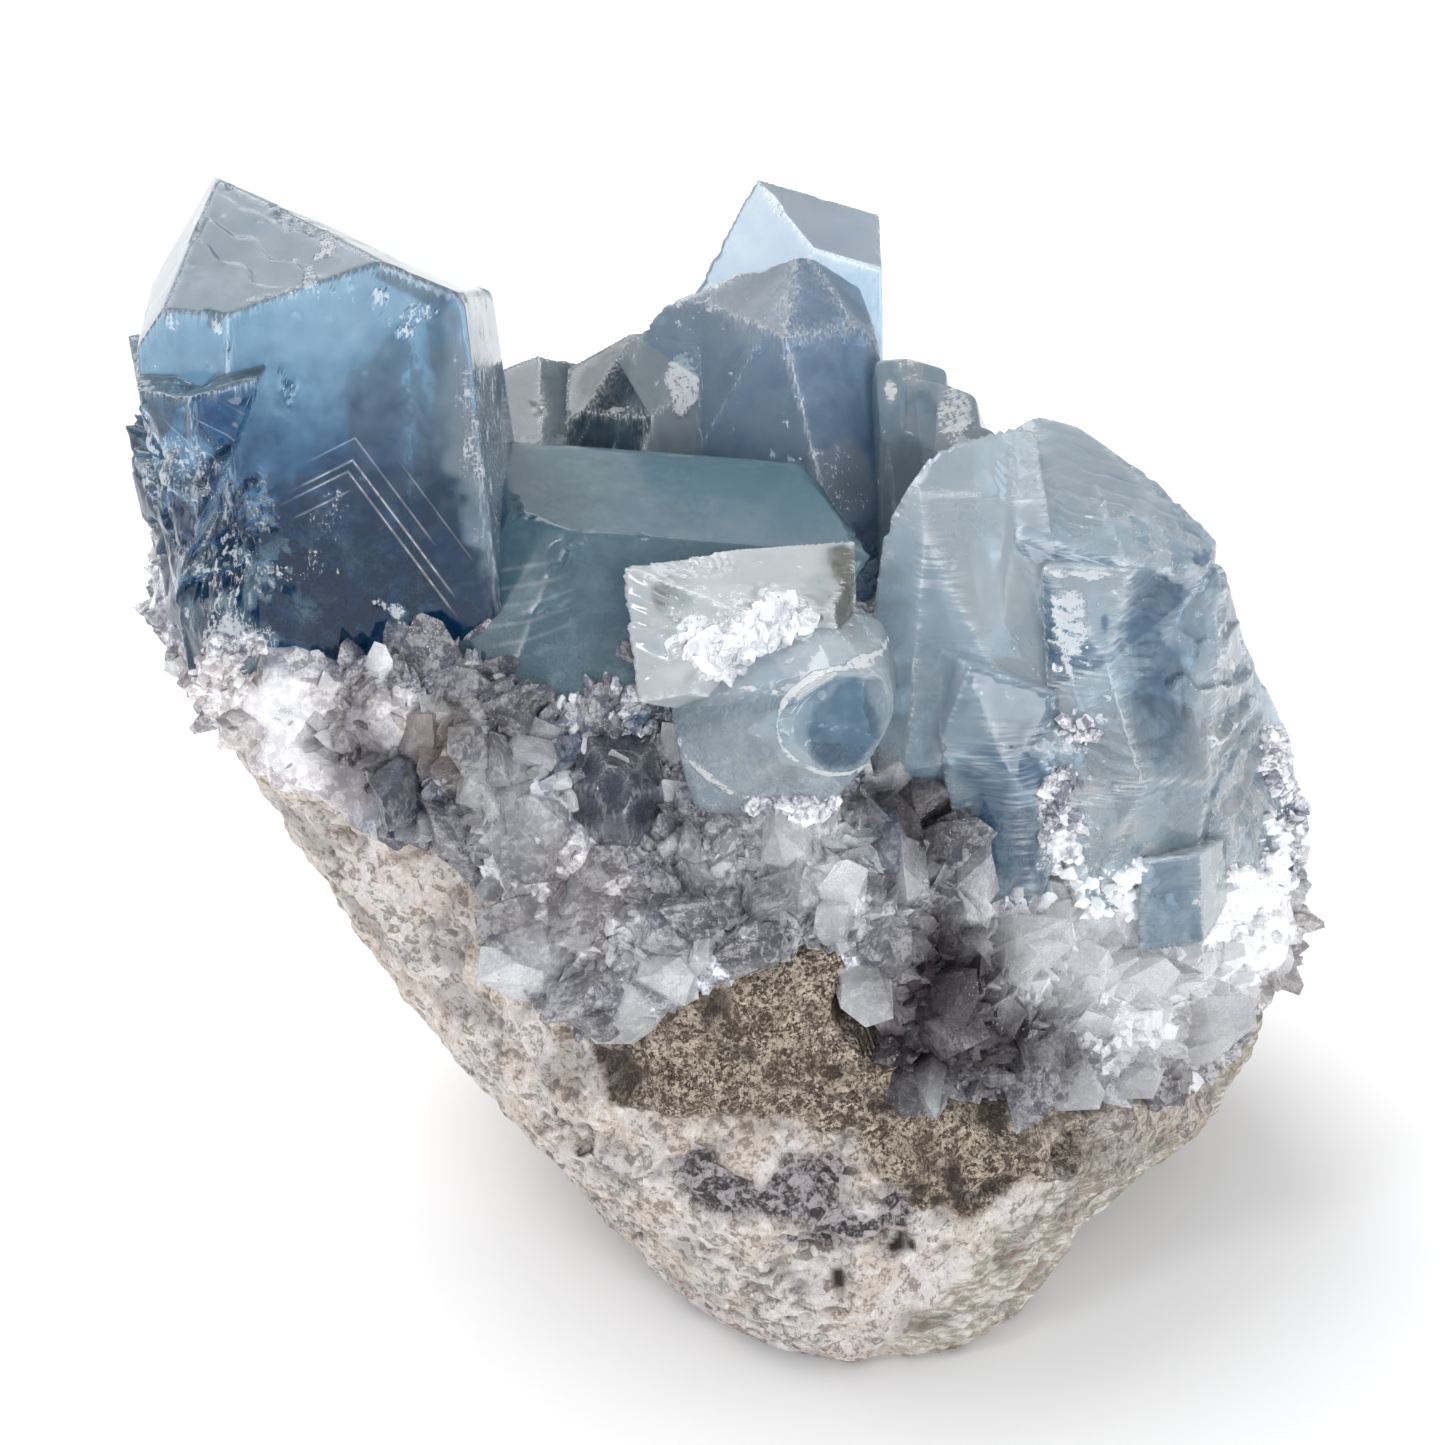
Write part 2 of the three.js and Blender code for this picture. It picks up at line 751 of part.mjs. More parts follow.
const BACK_RIGHT = {
  corners: {
    apex: [20, 15, 40.5],
    left: [16, 15.5, 37],
    right: [24, 15, 36],
    front: [20, 11.5, 37],
    back: [20.5, 20, 35],
    low: [20, 15, 28],
  },
  faces: ['apex left front', 'apex right front', 'apex left back', 'apex right back'],
  hidden: [[185, 0, 4.2], [5, 4, 4.4], [95, 4, 4.6], [275, 0, 3.8], [0, -90, 13]],
};

// Small druse crystals: four prism sides, two sloping end faces and a blunt tip.
// Each entry is [bearing, rise, share of the width or length].

const DRUSE_SIDES = [[0, 0], [76, 4], [180, 0], [256, 4]];
const DRUSE_ENDS = [[38, 42], [218, 48]];

function druseCrystal(spot, axis, turn, width, length) {
  const tilt = new THREE.Quaternion().setFromUnitVectors(new THREE.Vector3(0, 0, 1), axis);
  const plane = (bearing, rise, distance) => {
    const normal = wayTo(bearing + turn, rise).applyQuaternion(tilt);
    return new THREE.Plane(normal, -normal.dot(spot) - distance);
  };
  return solidInside([
    ...DRUSE_SIDES.map(([bearing, rise]) => plane(bearing, rise, width / 2)),
    ...DRUSE_ENDS.map(([bearing, rise]) => plane(bearing, rise, length * 0.9)),
    plane(0, 90, length),
    plane(0, -90, width * 0.55),
  ]);
}

function wayTo(bearing, rise) {
  const level = Math.cos(THREE.MathUtils.degToRad(rise));
  return new THREE.Vector3(
    level * Math.cos(THREE.MathUtils.degToRad(bearing)),
    level * Math.sin(THREE.MathUtils.degToRad(bearing)),
    Math.sin(THREE.MathUtils.degToRad(rise))
  );
}

function crustSpot(bearing, along) {
  const side = profileThrough([CONTACT_RING, CRUST_SIDE_RING, SHOULDER_RING, PLATEAU_RING]);
  const spot = side(bearing, along);
  const next = side(bearing, along + 0.05);
  const angle = THREE.MathUtils.degToRad(bearing);
  const outward = new THREE.Vector2(next.y - spot.y, spot.x - next.x).normalize();
  return {
    place: new THREE.Vector3(
      STONE_AXIS_X + spot.x * Math.cos(angle),
      spot.x * Math.sin(angle),
      spot.y
    ),
    normal: new THREE.Vector3(
      outward.x * Math.cos(angle),
      outward.x * Math.sin(angle),
      outward.y
    ).normalize(),
  };
}

function druseField() {
  const chance = makeChance(DRUSE_SEED);
  const crystals = [];
  for (let i = 0; i < DRUSE_CRYSTALS; i += 1) {
    const bearing = (i * 271.75 + 8 * chance()) % 360;
    const along = 0.12 + 0.76 * ((i * 0.5698) % 1);
    const { place, normal } = crustSpot(bearing, along);
    const lean = new THREE.Vector3(chance() - 0.5, chance() - 0.5, chance() * 0.8);
    const axis = normal.clone().addScaledVector(lean, 0.9).normalize();
    const width = 1.8 + 2.4 * chance();
    const length = width * (0.6 + 0.4 * chance());
    place.addScaledVector(normal, -0.3 * width);
    crystals.push(druseCrystal(place, axis, 180 * chance(), width, length));
  }
  return crystals;
}

// The bigger druse crystals at the front: [bearing, share of the way up the crust, width, turn].

const FRONT_DRUSE = [
  [210, 0.5, 5.4, 20],
  [200, 0.36, 5, 70],
  [190, 0.36, 4.6, 120],
  [225, 0.45, 5.2, 40],
  [236, 0.3, 4.4, 90],
  [256, 0.5, 5.2, 10],
  [268, 0.38, 4.6, 60],
  [283, 0.6, 5.4, 130],
  [296, 0.52, 5, 25],
  [314, 0.5, 5.6, 80],
  [322, 0.28, 4.6, 150],
  [336, 0.42, 5, 50],
  [350, 0.4, 4.4, 100],
];

function frontDruseCrystal([bearing, along, width, turn]) {
  const { place, normal } = crustSpot(bearing, along);
  const axis = normal.clone().add(new THREE.Vector3(0, 0, 0.5)).normalize();
  place.addScaledVector(normal, -0.32 * width);
  return druseCrystal(place, axis, turn, width, width * 0.7);
}

// Hollows in the stone: centre, half widths and the turn about the upright in degrees.

const HOLLOWS = [
  { name: 'broken brown face', centre: [7.6, -29.2, 19], half: [12.5, 5, 7.2], turn: 4 },
  { name: 'dark hollow', centre: [8.2, -22.6, 24.4], half: [1.9, 3, 2.2], turn: 0 },
  { name: 'recess under the druse', centre: [19.8, -18.6, 16.2], half: [2.4, 2.6, 1.4], turn: 30 },
  { name: 'recess below it', centre: [20.6, -18.4, 11.2], half: [2, 1.8, 1.1], turn: 30 },
  { name: 'edge pit', centre: [29.2, -8.4, 9.6], half: [1.6, 2, 1], turn: 60 },
  { name: 'glassy pocket', centre: [4.6, -27.2, 9], half: [3.4, 1.6, 2.2], turn: 0 },
  { name: 'small black void', centre: [10.2, -26.4, 9.6], half: [1.4, 1.6, 1.1], turn: 15 },
  { name: 'left pit', centre: [-9.2, -20.6, 13], half: [1.5, 1.5, 0.9], turn: -30 },
];

function hollowSolid({ centre, half, turn }) {
  const geometry = new THREE.IcosahedronGeometry(1, Math.max(...half) > 5 ? 2 : 1);
  geometry.scale(...half);
  geometry.rotateZ(THREE.MathUtils.degToRad(turn));
  geometry.translate(...centre);
  return toSolid(geometry);
}

// The crystals in the order in which they give way: each is trimmed by those before it.

const CRYSTAL_GROUPS = [
  { name: 'front_rounded_crystal', colour: 0x9db6c4, crystals: [FRONT_ROUNDED] },
  { name: 'front_clear_crystal', colour: 0xb9c7ca, crystals: [FRONT_CLEAR] },
  { name: 'dark_dome_crystal', colour: 0x58586a, crystals: [DARK_DOME] },
  { name: 'left_tall_crystal', colour: 0x4f7594, crystals: [LEFT_TALL, LEFT_STEP] },
  {
    name: 'right_crystal_mass',
    colour: 0x9fb3ba,
    crystals: [RIGHT_GREEN, RIGHT_SLAB, RIGHT_SHELL, RIGHT_FOOT, RIGHT_WING, RIGHT_WINDOW],
  },
  { name: 'middle_wide_crystal', colour: 0x6a7f8c, crystals: [MIDDLE_WIDE] },
  { name: 'left_rear_small_crystal', colour: 0x5d6b6e, crystals: [LEFT_REAR_SMALL] },
  { name: 'rear_twin_crystal', colour: 0x6c8099, crystals: [REAR_FRONT_TWIN, REAR_BACK_TWIN] },
  { name: 'far_left_small_crystal', colour: 0x8d9aa3, crystals: [FAR_LEFT_SMALL] },
  { name: 'right_rear_bunch', colour: 0x90a3ad, crystals: RIGHT_REAR_BUNCH },
  { name: 'back_left_crystal', colour: 0x7d93a8, crystals: [BACK_LEFT] },
  { name: 'back_right_crystal', colour: 0x8aa0ae, crystals: [BACK_RIGHT] },
];

const STONE_COLOUR = 0x9a9188;
const CRUST_COLOUR = 0xb9b6bf;

// Cutting can leave loose crumbs, so only the main body is kept.

function mainBody(solid) {
  return solid.decompose().reduce((best, part) => (part.volume() > best.volume() ? part : best));
}

function cutAway(solid, cutters) {
  return mainBody(cutters.reduce((rest, cutter) => rest.subtract(cutter), solid));
}

function meshOf(name, solid, colour, roughness) {
  const material = new THREE.MeshStandardMaterial({ color: colour, roughness, metalness: 0 });
  const mesh = new THREE.Mesh(toGeometry(solid), material);
  mesh.name = name;
  return mesh;
}

// Putting the cluster together

const hollows = HOLLOWS.map(hollowSolid);
const stoneWithGap = buildStoneBody(GAP, GAP);
const crystalsWithGap = [];
const crystalMeshes = [];
for (const { name, colour, crystals } of CRYSTAL_GROUPS) {
  const solid = cutAway(grownTogether(crystals), [stoneWithGap, ...crystalsWithGap]);
  crystalMeshes.push(meshOf(name, solid, colour, 0.12));
  crystalsWithGap.push(grownTogether(crystals, GAP));
}

const druse = [...FRONT_DRUSE.map(frontDruseCrystal), ...druseField()];
const crustWithDruse = druse
  .map((crystal) => crystal.subtract(stoneWithGap))
  .reduce((body, crystal) => body.add(crystal), buildCrustBody());
const crust = cutAway(crustWithDruse, [...hollows, ...crystalsWithGap]);
const stone = cutAway(buildStoneBody(0, 0), hollows);

const cluster = new THREE.Group();
cluster.name = 'celestite_cluster';
cluster.add(meshOf('rock_matrix', stone, STONE_COLOUR, 0.95));
cluster.add(meshOf('druse_crust', crust, CRUST_COLOUR, 0.5));
cluster.add(...crystalMeshes);

// The bottom centre of the whole cluster is the origin.

const box = new THREE.Box3().setFromObject(cluster);
const centre = box.getCenter(new THREE.Vector3());
cluster.children.forEach((mesh) => {
  mesh.position.set(-centre.x, -centre.y, -box.min.z);
});

export default cluster;
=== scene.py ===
"""Celestite crystal cluster: blue crystals on a drusy crust over a wedge of stone.

Shapes are worked out in millimetres in the drawing frame of the part (+Z up, -Y the front) and
are moved by DRAWING_TO_FRAME and scaled to metres when they become meshes.
"""

import itertools
import math

import bpy
import numpy as np
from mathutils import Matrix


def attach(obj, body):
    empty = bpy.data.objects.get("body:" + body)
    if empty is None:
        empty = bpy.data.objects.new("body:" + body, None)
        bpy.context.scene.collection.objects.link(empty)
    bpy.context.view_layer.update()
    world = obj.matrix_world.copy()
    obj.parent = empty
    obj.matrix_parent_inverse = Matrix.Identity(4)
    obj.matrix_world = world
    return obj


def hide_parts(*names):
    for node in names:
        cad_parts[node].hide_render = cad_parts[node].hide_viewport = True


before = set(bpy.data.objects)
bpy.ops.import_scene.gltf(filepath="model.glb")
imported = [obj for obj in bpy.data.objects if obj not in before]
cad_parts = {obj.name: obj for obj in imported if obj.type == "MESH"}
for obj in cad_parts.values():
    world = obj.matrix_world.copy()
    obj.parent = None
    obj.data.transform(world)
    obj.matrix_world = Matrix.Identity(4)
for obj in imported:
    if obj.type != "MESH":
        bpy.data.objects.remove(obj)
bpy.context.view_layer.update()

MM = 0.001
DRAWING_TO_FRAME = np.array([-1.4976, -1.5350, 0.0])
STONE_AXIS = np.array([5.0, 0.0, 0.0])
STONE_TOP_HEIGHT = 27.0
CRUST_TOP_HEIGHT = 37.0
CONTACT_GAP = 0.3  # mm between the rims of stone and crust
RING_SWING = 0.4  # mm that a smoothed ring may leave its listed values
FRONT_CROWDING = 17  # degrees by which bearings are drawn towards the front
MM_PER_DEGREE = 0.44  # width of a degree of bearing on the stone's face
HIDDEN_SHARES = (0.86, 0.6, 0.3)  # reaches of the rows under the crust, as shares of the rim's
TINY, FAR = 1e-6, 1e9

# Outlines of the stone and the crust: [bearing in degrees, reach in mm, height in mm].

BASE_RING = [
    [0, 23.5, 0], [30, 24, 0], [60, 22, 0], [90, 20, 0], [120, 20, 0], [150, 18, 0],
    [180, 13.5, 0], [210, 12.5, 0], [240, 17, 0], [255, 21, 0], [270, 24, 0], [285, 25, 0],
    [300, 24.5, 0], [315, 21.5, 0], [330, 19.5, 0],
]
FOOT_RING = [
    [0, 25, 2.5], [30, 25.5, 3], [60, 23.5, 3], [90, 21.5, 3], [120, 22, 3], [150, 20.5, 3],
    [180, 16.5, 3], [210, 16.5, 3.5], [240, 20.5, 3], [255, 23.5, 2.5], [270, 26, 2],
    [285, 26.5, 2], [300, 25.5, 2], [315, 23, 2], [330, 21.5, 2],
]
BULGE_RING = [
    [0, 29.5, 7], [30, 29.5, 9], [60, 27, 11], [90, 24.5, 13], [120, 28, 14], [150, 29, 16],
    [180, 27.5, 17], [195, 27.5, 18], [210, 25.5, 15], [225, 24, 12.5], [240, 25, 12],
    [255, 26, 12.5], [270, 27, 13], [285, 26.5, 9], [300, 25.5, 8], [315, 24.5, 6],
    [330, 24.8, 5], [345, 27, 5.5],
]
CONTACT_RING = [
    [0, 30.6, 12], [30, 30.5, 15.5], [60, 28, 21], [90, 26, 26], [120, 31, 30],
    [150, 35.5, 33.5], [180, 38.6, 36.2], [195, 34.4, 33.2], [208, 28.2, 30.6], [217, 25.4, 30],
    [228, 24.5, 26], [236, 24.5, 21.6], [246, 24.2, 22.8], [255, 24, 25.6], [265, 22.4, 27.2],
    [275, 21.6, 27.5], [281, 23.2, 21.6], [289, 23.7, 18], [304, 23.8, 16.1],
    [325, 24.9, 12.5], [342, 26.2, 9.3], [354, 28, 10],
]
CRUST_SIDE_RING = [
    [0, 32, 16], [30, 31, 20], [60, 28.5, 25.5], [90, 26.5, 30.5], [120, 31.5, 34.5],
    [150, 36.5, 38], [180, 39.2, 40.5], [195, 34.8, 37], [208, 28.4, 34.4], [217, 25.6, 33.5],
    [228, 24.6, 30], [236, 24, 26.5], [246, 23.4, 27], [255, 22.8, 28.5], [265, 21.6, 29.8],
    [275, 21.2, 29.8], [289, 23.2, 23], [304, 23.6, 20], [325, 25.4, 16.5], [342, 27.5, 14],
]
SHOULDER_RING = [
    [0, 29.5, 22], [30, 28, 25], [60, 25.5, 29.5], [90, 24, 33.5], [120, 28.5, 37.5],
    [150, 33.5, 40.5], [180, 36.5, 43], [195, 32, 41], [210, 25.5, 38.5], [225, 21.5, 36],
    [240, 20, 33.5], [255, 18, 34.5], [270, 17.2, 34.5], [285, 18.5, 31], [300, 19.5, 27.5],
    [315, 21, 24.5], [330, 23.5, 22], [345, 26.5, 20.5],
]
PLATEAU_RING = [
    [0, 17, 28], [30, 16.5, 30], [60, 15, 33], [90, 14, 36], [120, 16, 38.5], [150, 19, 40],
    [180, 20, 40.5], [210, 16, 39.5], [240, 11.5, 38], [270, 9.5, 37], [300, 11, 34],
    [330, 14, 30],
]


# Steady noise


def hashed(cells, seed):
    """A steady number from 0 to 1 for each whole-number cell: its three parts are multiplied by
    large odd numbers, added, and mixed twice by a shift, an exclusive or and a product."""
    x, y, z = (cells[..., k].astype(np.int64).astype(np.uint64) for k in range(3))
    low_half = np.uint64(0xFFFFFFFF)
    stirred = (
        x * np.uint64(374761393)
        + y * np.uint64(668265263)
        + z * np.uint64(1440662683)
        + np.uint64(seed * 982451653)
    ) & low_half
    for shift, factor in ((13, 1274126177), (16, 2246822519)):
        stirred = ((stirred ^ (stirred >> np.uint64(shift))) * np.uint64(factor)) & low_half
    return ((stirred >> np.uint64(8)) & np.uint64(0xFFFFF)).astype(float) / 0xFFFFF


CUBE_CORNERS = np.array(list(itertools.product((0, 1), repeat=3)))
NEAR_CELLS = np.array(list(itertools.product((-1, 0, 1), repeat=3)))


def cloud(points, size, seed):
    """Smooth noise from -1 to 1: hashed numbers at the corners of cubes of the given size,
    blended by the weights 3t^2 - 2t^3."""
    spot = points / size
    cell = np.floor(spot)
    t = spot - cell
    t = t * t * (3 - 2 * t)
    total = np.zeros(points.shape[:-1])
    for corner in CUBE_CORNERS:
        weight = np.prod(np.where(corner, t, 1 - t), axis=-1)
        total += weight * hashed(cell + corner, seed)
    return 2 * total - 1


def clouds(points, size, octaves, seed):
    """Clouds of halving size and strength added up."""
    return sum(cloud(points, size / 2**k, seed + k) / 2**k for k in range(octaves))


def grains(points, size, seed):
    """Round grains from 0 to 1: one grain at a hashed spot in each cube of the given size, its
    height 1 - (distance / radius)^2, the highest grain showing."""
    spot = points / size
    cell = np.floor(spot)
    best = np.zeros(points.shape[:-1])
    for step in NEAR_CELLS:
        near = cell + step
        centre = near + np.stack([hashed(near, seed + k) for k in range(3)], axis=-1)
        radius = 0.55 + 0.45 * hashed(near, seed + 3)
        away = np.sum((spot - centre) ** 2, axis=-1)
        best = np.maximum(best, 1 - away / radius**2)
    return best


def grown_facets(points, size, seed):
    """Flat-faced crystals from 0 to about 1: one box at a hashed spot in each cube of the given
    size, turned by three hashed angles; its height falls by the largest of the three turned
    distances, and the highest box shows."""
    spot = points / size
    cell = np.floor(spot)
    best = np.zeros(points.shape[:-1])
    for step in NEAR_CELLS:
        near = cell + step
        centre = near + np.stack([hashed(near, seed + k) for k in range(3)], axis=-1)
        away = spot - centre
        one, two, three = (2 * math.pi * hashed(near, seed + 3 + k) for k in range(3))
        x, y, z = away[..., 0], away[..., 1], away[..., 2]
        x, y = x * np.cos(one) - y * np.sin(one), x * np.sin(one) + y * np.cos(one)
        y, z = y * np.cos(two) - z * np.sin(two), y * np.sin(two) + z * np.cos(two)
        x, y = x * np.cos(three) - y * np.sin(three), x * np.sin(three) + y * np.cos(three)
        reach = 0.75 + 0.45 * hashed(near, seed + 7)
        fall = np.maximum(np.maximum(abs(x), abs(y)), 0.8 * abs(z))
        best = np.maximum(best, reach - fall)
    return best


def eased(value, low, high):
    """0 below low, 1 above high and 3t^2 - 2t^3 between."""
    t = np.clip((value - low) / (high - low), 0, 1)
    return t * t * (3 - 2 * t)


PATCH_FADE = 0.45  # share of its radius over which a patch fades
PATCH_GRAIN = 2.4  # mm across the clouds that make its edge ragged


def patch(points, centre, radius, raggedness=0.0, seed=1):
    """A mask that is 1 at the centre and 0 past the radius (one number or three), its edge made
    ragged by clouds."""
    away = np.linalg.norm((points - np.array(centre)) / np.array(radius), axis=-1)
    if raggedness:
        away = away + raggedness * clouds(points, PATCH_GRAIN, 3, seed)
    return eased(1 - away, 0.0, PATCH_FADE)


def inside_outline(outline, bearings, heights, soft):
    """1 inside a closed outline of [bearing, height] and 0 outside: the distance to its nearest
    edge, signed by an even-odd count of the edges crossed and eased over the soft width. A
    degree of bearing counts as MM_PER_DEGREE."""
    corners = np.array(outline, float) * [MM_PER_DEGREE, 1]
    x, y = bearings * MM_PER_DEGREE, heights
    crossed = np.zeros(np.shape(x), int)
    nearest = np.full(np.shape(x), FAR)
    for (ax, ay), (bx, by) in zip(corners, np.roll(corners, -1, axis=0)):
        along = np.clip(
            ((x - ax) * (bx - ax) + (y - ay) * (by - ay)) / ((bx - ax) ** 2 + (by - ay) ** 2), 0, 1
        )
        away = np.hypot(x - ax - along * (bx - ax), y - ay - along * (by - ay))
        nearest = np.minimum(nearest, away)
        if ay != by:
            crossed += ((ay > y) != (by > y)) & (x < ax + (y - ay) * (bx - ax) / (by - ay))
    return eased(np.where(crossed % 2 == 1, nearest, -nearest), -soft, soft)


# Meshes


def add_mesh(name, places, faces, smooth=True, marks=None):
    """One object from places in drawing millimetres and faces, an array of corner numbers with
    -1 in the fourth column of a triangle. Marks are colours per point, kept as an attribute."""
    mesh = bpy.data.meshes.new(name)
    faces = np.asarray(faces)
    if faces.shape[1] == 3:
        faces = np.concatenate([faces, np.full((len(faces), 1), -1)], axis=1)
    sizes = np.where(faces[:, 3] < 0, 3, 4)
    mesh.vertices.add(len(places))
    mesh.loops.add(int(sizes.sum()))
    mesh.polygons.add(len(faces))
    mesh.vertices.foreach_set("co", ((places + DRAWING_TO_FRAME) * MM).ravel())
    mesh.loops.foreach_set("vertex_index", faces[faces >= 0])
    mesh.polygons.foreach_set("loop_start", np.concatenate([[0], np.cumsum(sizes)[:-1]]))
    mesh.polygons.foreach_set("use_smooth", np.full(len(faces), smooth))
    if marks is not None:
        layer = mesh.attributes.new("marks", "FLOAT_COLOR", "POINT")
        layer.data.foreach_set("color", np.clip(marks, 0, 1).ravel())
    mesh.update()
    mesh.validate()
    piece = bpy.data.objects.new(name, mesh)
    bpy.context.scene.collection.objects.link(piece)
    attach(piece, "root")
    return piece


def shell_faces(rows, columns):
    """Faces of a closed grid of rows that each go once round, with a low and a high end point
    after them."""
    i, j = np.meshgrid(np.arange(rows - 1), np.arange(columns), indexing="ij")
    k = (j + 1) % columns
    here_low, next_low = i * columns + j, i * columns + k
    sides = np.stack([here_low, next_low, next_low + columns, here_low + columns])
    around = np.arange(columns)
    after = (around + 1) % columns
    top = (rows - 1) * columns
    low, high = rows * columns, rows * columns + 1
    blank = np.full(columns, -1)
    under = np.stack([np.full(columns, low), after, around, blank])
    over = np.stack([np.full(columns, high), top + around, top + after, blank])
    return np.concatenate([sides.reshape(4, -1).T, under.T, over.T])


def grid_normals(grid):
    """Outward unit normals of a grid that closes along its columns: the cross product of its two
    directions."""
    along = np.roll(grid, -1, axis=1) - np.roll(grid, 1, axis=1)
    up = np.gradient(grid, axis=0)
    normal = np.cross(along, up)
    return normal / np.maximum(np.linalg.norm(normal, axis=-1, keepdims=True), 1e-9)


# Stone and crust


def ring_at(ring, bearings):
    """Reach and height of a ring at each bearing: the cubic b(2t^3-3t^2+1) + (c-a)/2 (t^3-2t^2+t)
    + c(3t^2-2t^3) + (d-b)/2 (t^3-t^2) between listed values b and c with neighbours a and d, kept
    within RING_SWING of b and c."""
    ring = np.array(ring, float)
    at = np.searchsorted(ring[:, 0], bearings, side="right") - 1
    a, b, c, d = (ring[(at + step) % len(ring)] for step in (-1, 0, 1, 2))
    t = ((bearings - b[:, 0]) / ((c[:, 0] - b[:, 0]) % 360))[:, None]
    a, b, c, d = a[:, 1:], b[:, 1:], c[:, 1:], d[:, 1:]
    smooth = (
        b * (2 * t**3 - 3 * t**2 + 1)
        + (c - a) / 2 * (t**3 - 2 * t**2 + t)
        + c * (3 * t**2 - 2 * t**3)
        + (d - b) / 2 * (t**3 - t**2)
    )
    return np.clip(smooth, np.minimum(b, c) - RING_SWING, np.maximum(b, c) + RING_SWING)


def profile_through(rings, bearings, along):
    """Reach and height at each share of the way up, for each bearing: a Catmull-Rom curve through
    the rings."""
    spots = np.stack([ring_at(ring, bearings) for ring in rings])
    last = len(spots) - 1
    step = np.asarray(along) * last
    at = np.minimum(np.floor(step).astype(int), last)
    t = (step - at)[:, None, None]
    a, b, c, d = (spots[np.clip(at + k, 0, last)] for k in (-1, 0, 1, 2))
    first, second = (c - a) / 2, (d - b) / 2
    return (
        (2 * b - 2 * c + first + second) * t**3
        + (-3 * b + 3 * c - 2 * first - second) * t**2
        + first * t
        + b
    )


def round_about(profile, bearings):
    """Places from reach and height about the stone's axis."""
    angle = np.radians(bearings)
    reach, height = profile[..., 0], profile[..., 1]
    x, y = STONE_AXIS[0] + reach * np.cos(angle), reach * np.sin(angle)
    return np.stack([x, y, height], axis=-1)


def bumps(points, size):
    """Coarse, medium and fine crossed waves that together reach about size."""
    x, y, z = points[..., 0], points[..., 1], points[..., 2]
    coarse = np.sin(x * 0.61 + z * 0.43 + 1.3) * np.sin(y * 0.57 - z * 0.31 + 0.4)
    medium = np.sin(x * 1.37 - y * 0.92 + 2.1) * np.sin(z * 1.51 + y * 0.83)
    fine = np.sin(x * 2.9 + 0.7) * np.sin(y * 3.1 + 1.9) * np.sin(z * 2.7)
    return size * (0.5 * coarse + 0.35 * medium + 0.3 * fine)


def lifted(ring, lift):
    """The ring moved up."""
    return [[bearing, reach, height + lift] for bearing, reach, height in ring]


def bearings_closer_in_front(count):
    """Bearings round the circle, nearly twice as close together at the front (270 degrees) as at
    the back: b + FRONT_CROWDING cos(b), with b even."""
    even = np.arange(count) * 360 / count
    return np.sort((even + FRONT_CROWDING * np.cos(np.radians(even))) % 360)


def hidden_rows(ring, middle_height, bearings):
    """Rows of places from a ring inwards, out of sight under the crust. At the share s of the
    reach the height is middle + (edge - middle) s^2."""
    edge = ring_at(ring, bearings)
    rows = [
        np.stack([edge[:, 0] * s, middle_height + (edge[:, 1] - middle_height) * s * s], axis=-1)
        for s in HIDDEN_SHARES
    ]
    return round_about(np.stack(rows), bearings)


def with_ends(grid, low, high):
    """The points of a closed grid, and after them its low and high end on the stone's axis."""
    ends = [[STONE_AXIS[0], 0, low], [STONE_AXIS[0], 0, high]]
    return np.concatenate([grid.reshape(-1, 3), ends])


# Hollows: centre, half widths and turn about the upright in degrees.
HOLLOWS = [
    ([7.6, -29.2, 19], [12.5, 5, 7.2], 4),
    ([8.2, -22.6, 24.4], [1.9, 3, 2.2], 0),
    ([19.8, -18.6, 16.2], [2.4, 2.6, 1.4], 30),
    ([20.6, -18.4, 11.2], [2, 1.8, 1.1], 30),
    ([29.2, -8.4, 9.6], [1.6, 2, 1], 60),
    ([4.6, -27.2, 9], [3.4, 1.6, 2.2], 0),
    ([10.2, -26.4, 9.6], [1.4, 1.6, 1.1], 15),
    ([-9.2, -20.6, 13], [1.5, 1.5, 0.9], -30),
]


def hollowed(places, bearings):
    """Moves places that lie in a hollow inwards along their bearing to the hollow's far wall: the
    larger root t of |(place + t * inward - centre) / half| = 1."""
    angle = np.radians(bearings)
    inward = np.stack([-np.cos(angle), -np.sin(angle), 0 * angle], axis=-1)
    inward = np.broadcast_to(inward, places.shape)
    for centre, half, turn in HOLLOWS:
        c, s = math.cos(math.radians(turn)), math.sin(math.radians(turn))
        to_own = np.array([[c, s, 0], [-s, c, 0], [0, 0, 1]]) / np.array(half)[:, None]
        start = (places - np.array(centre)) @ to_own.T
        way = inward @ to_own.T
        square, half_mid = np.sum(way**2, -1), np.sum(way * start, -1)
        rest = np.sum(start**2, -1) - 1
        root = np.sqrt(np.maximum(half_mid**2 - square * rest, 0))
        far = np.where(rest < 0, (root - half_mid) / square, 0)
        places = places + inward * far[..., None]
    return places


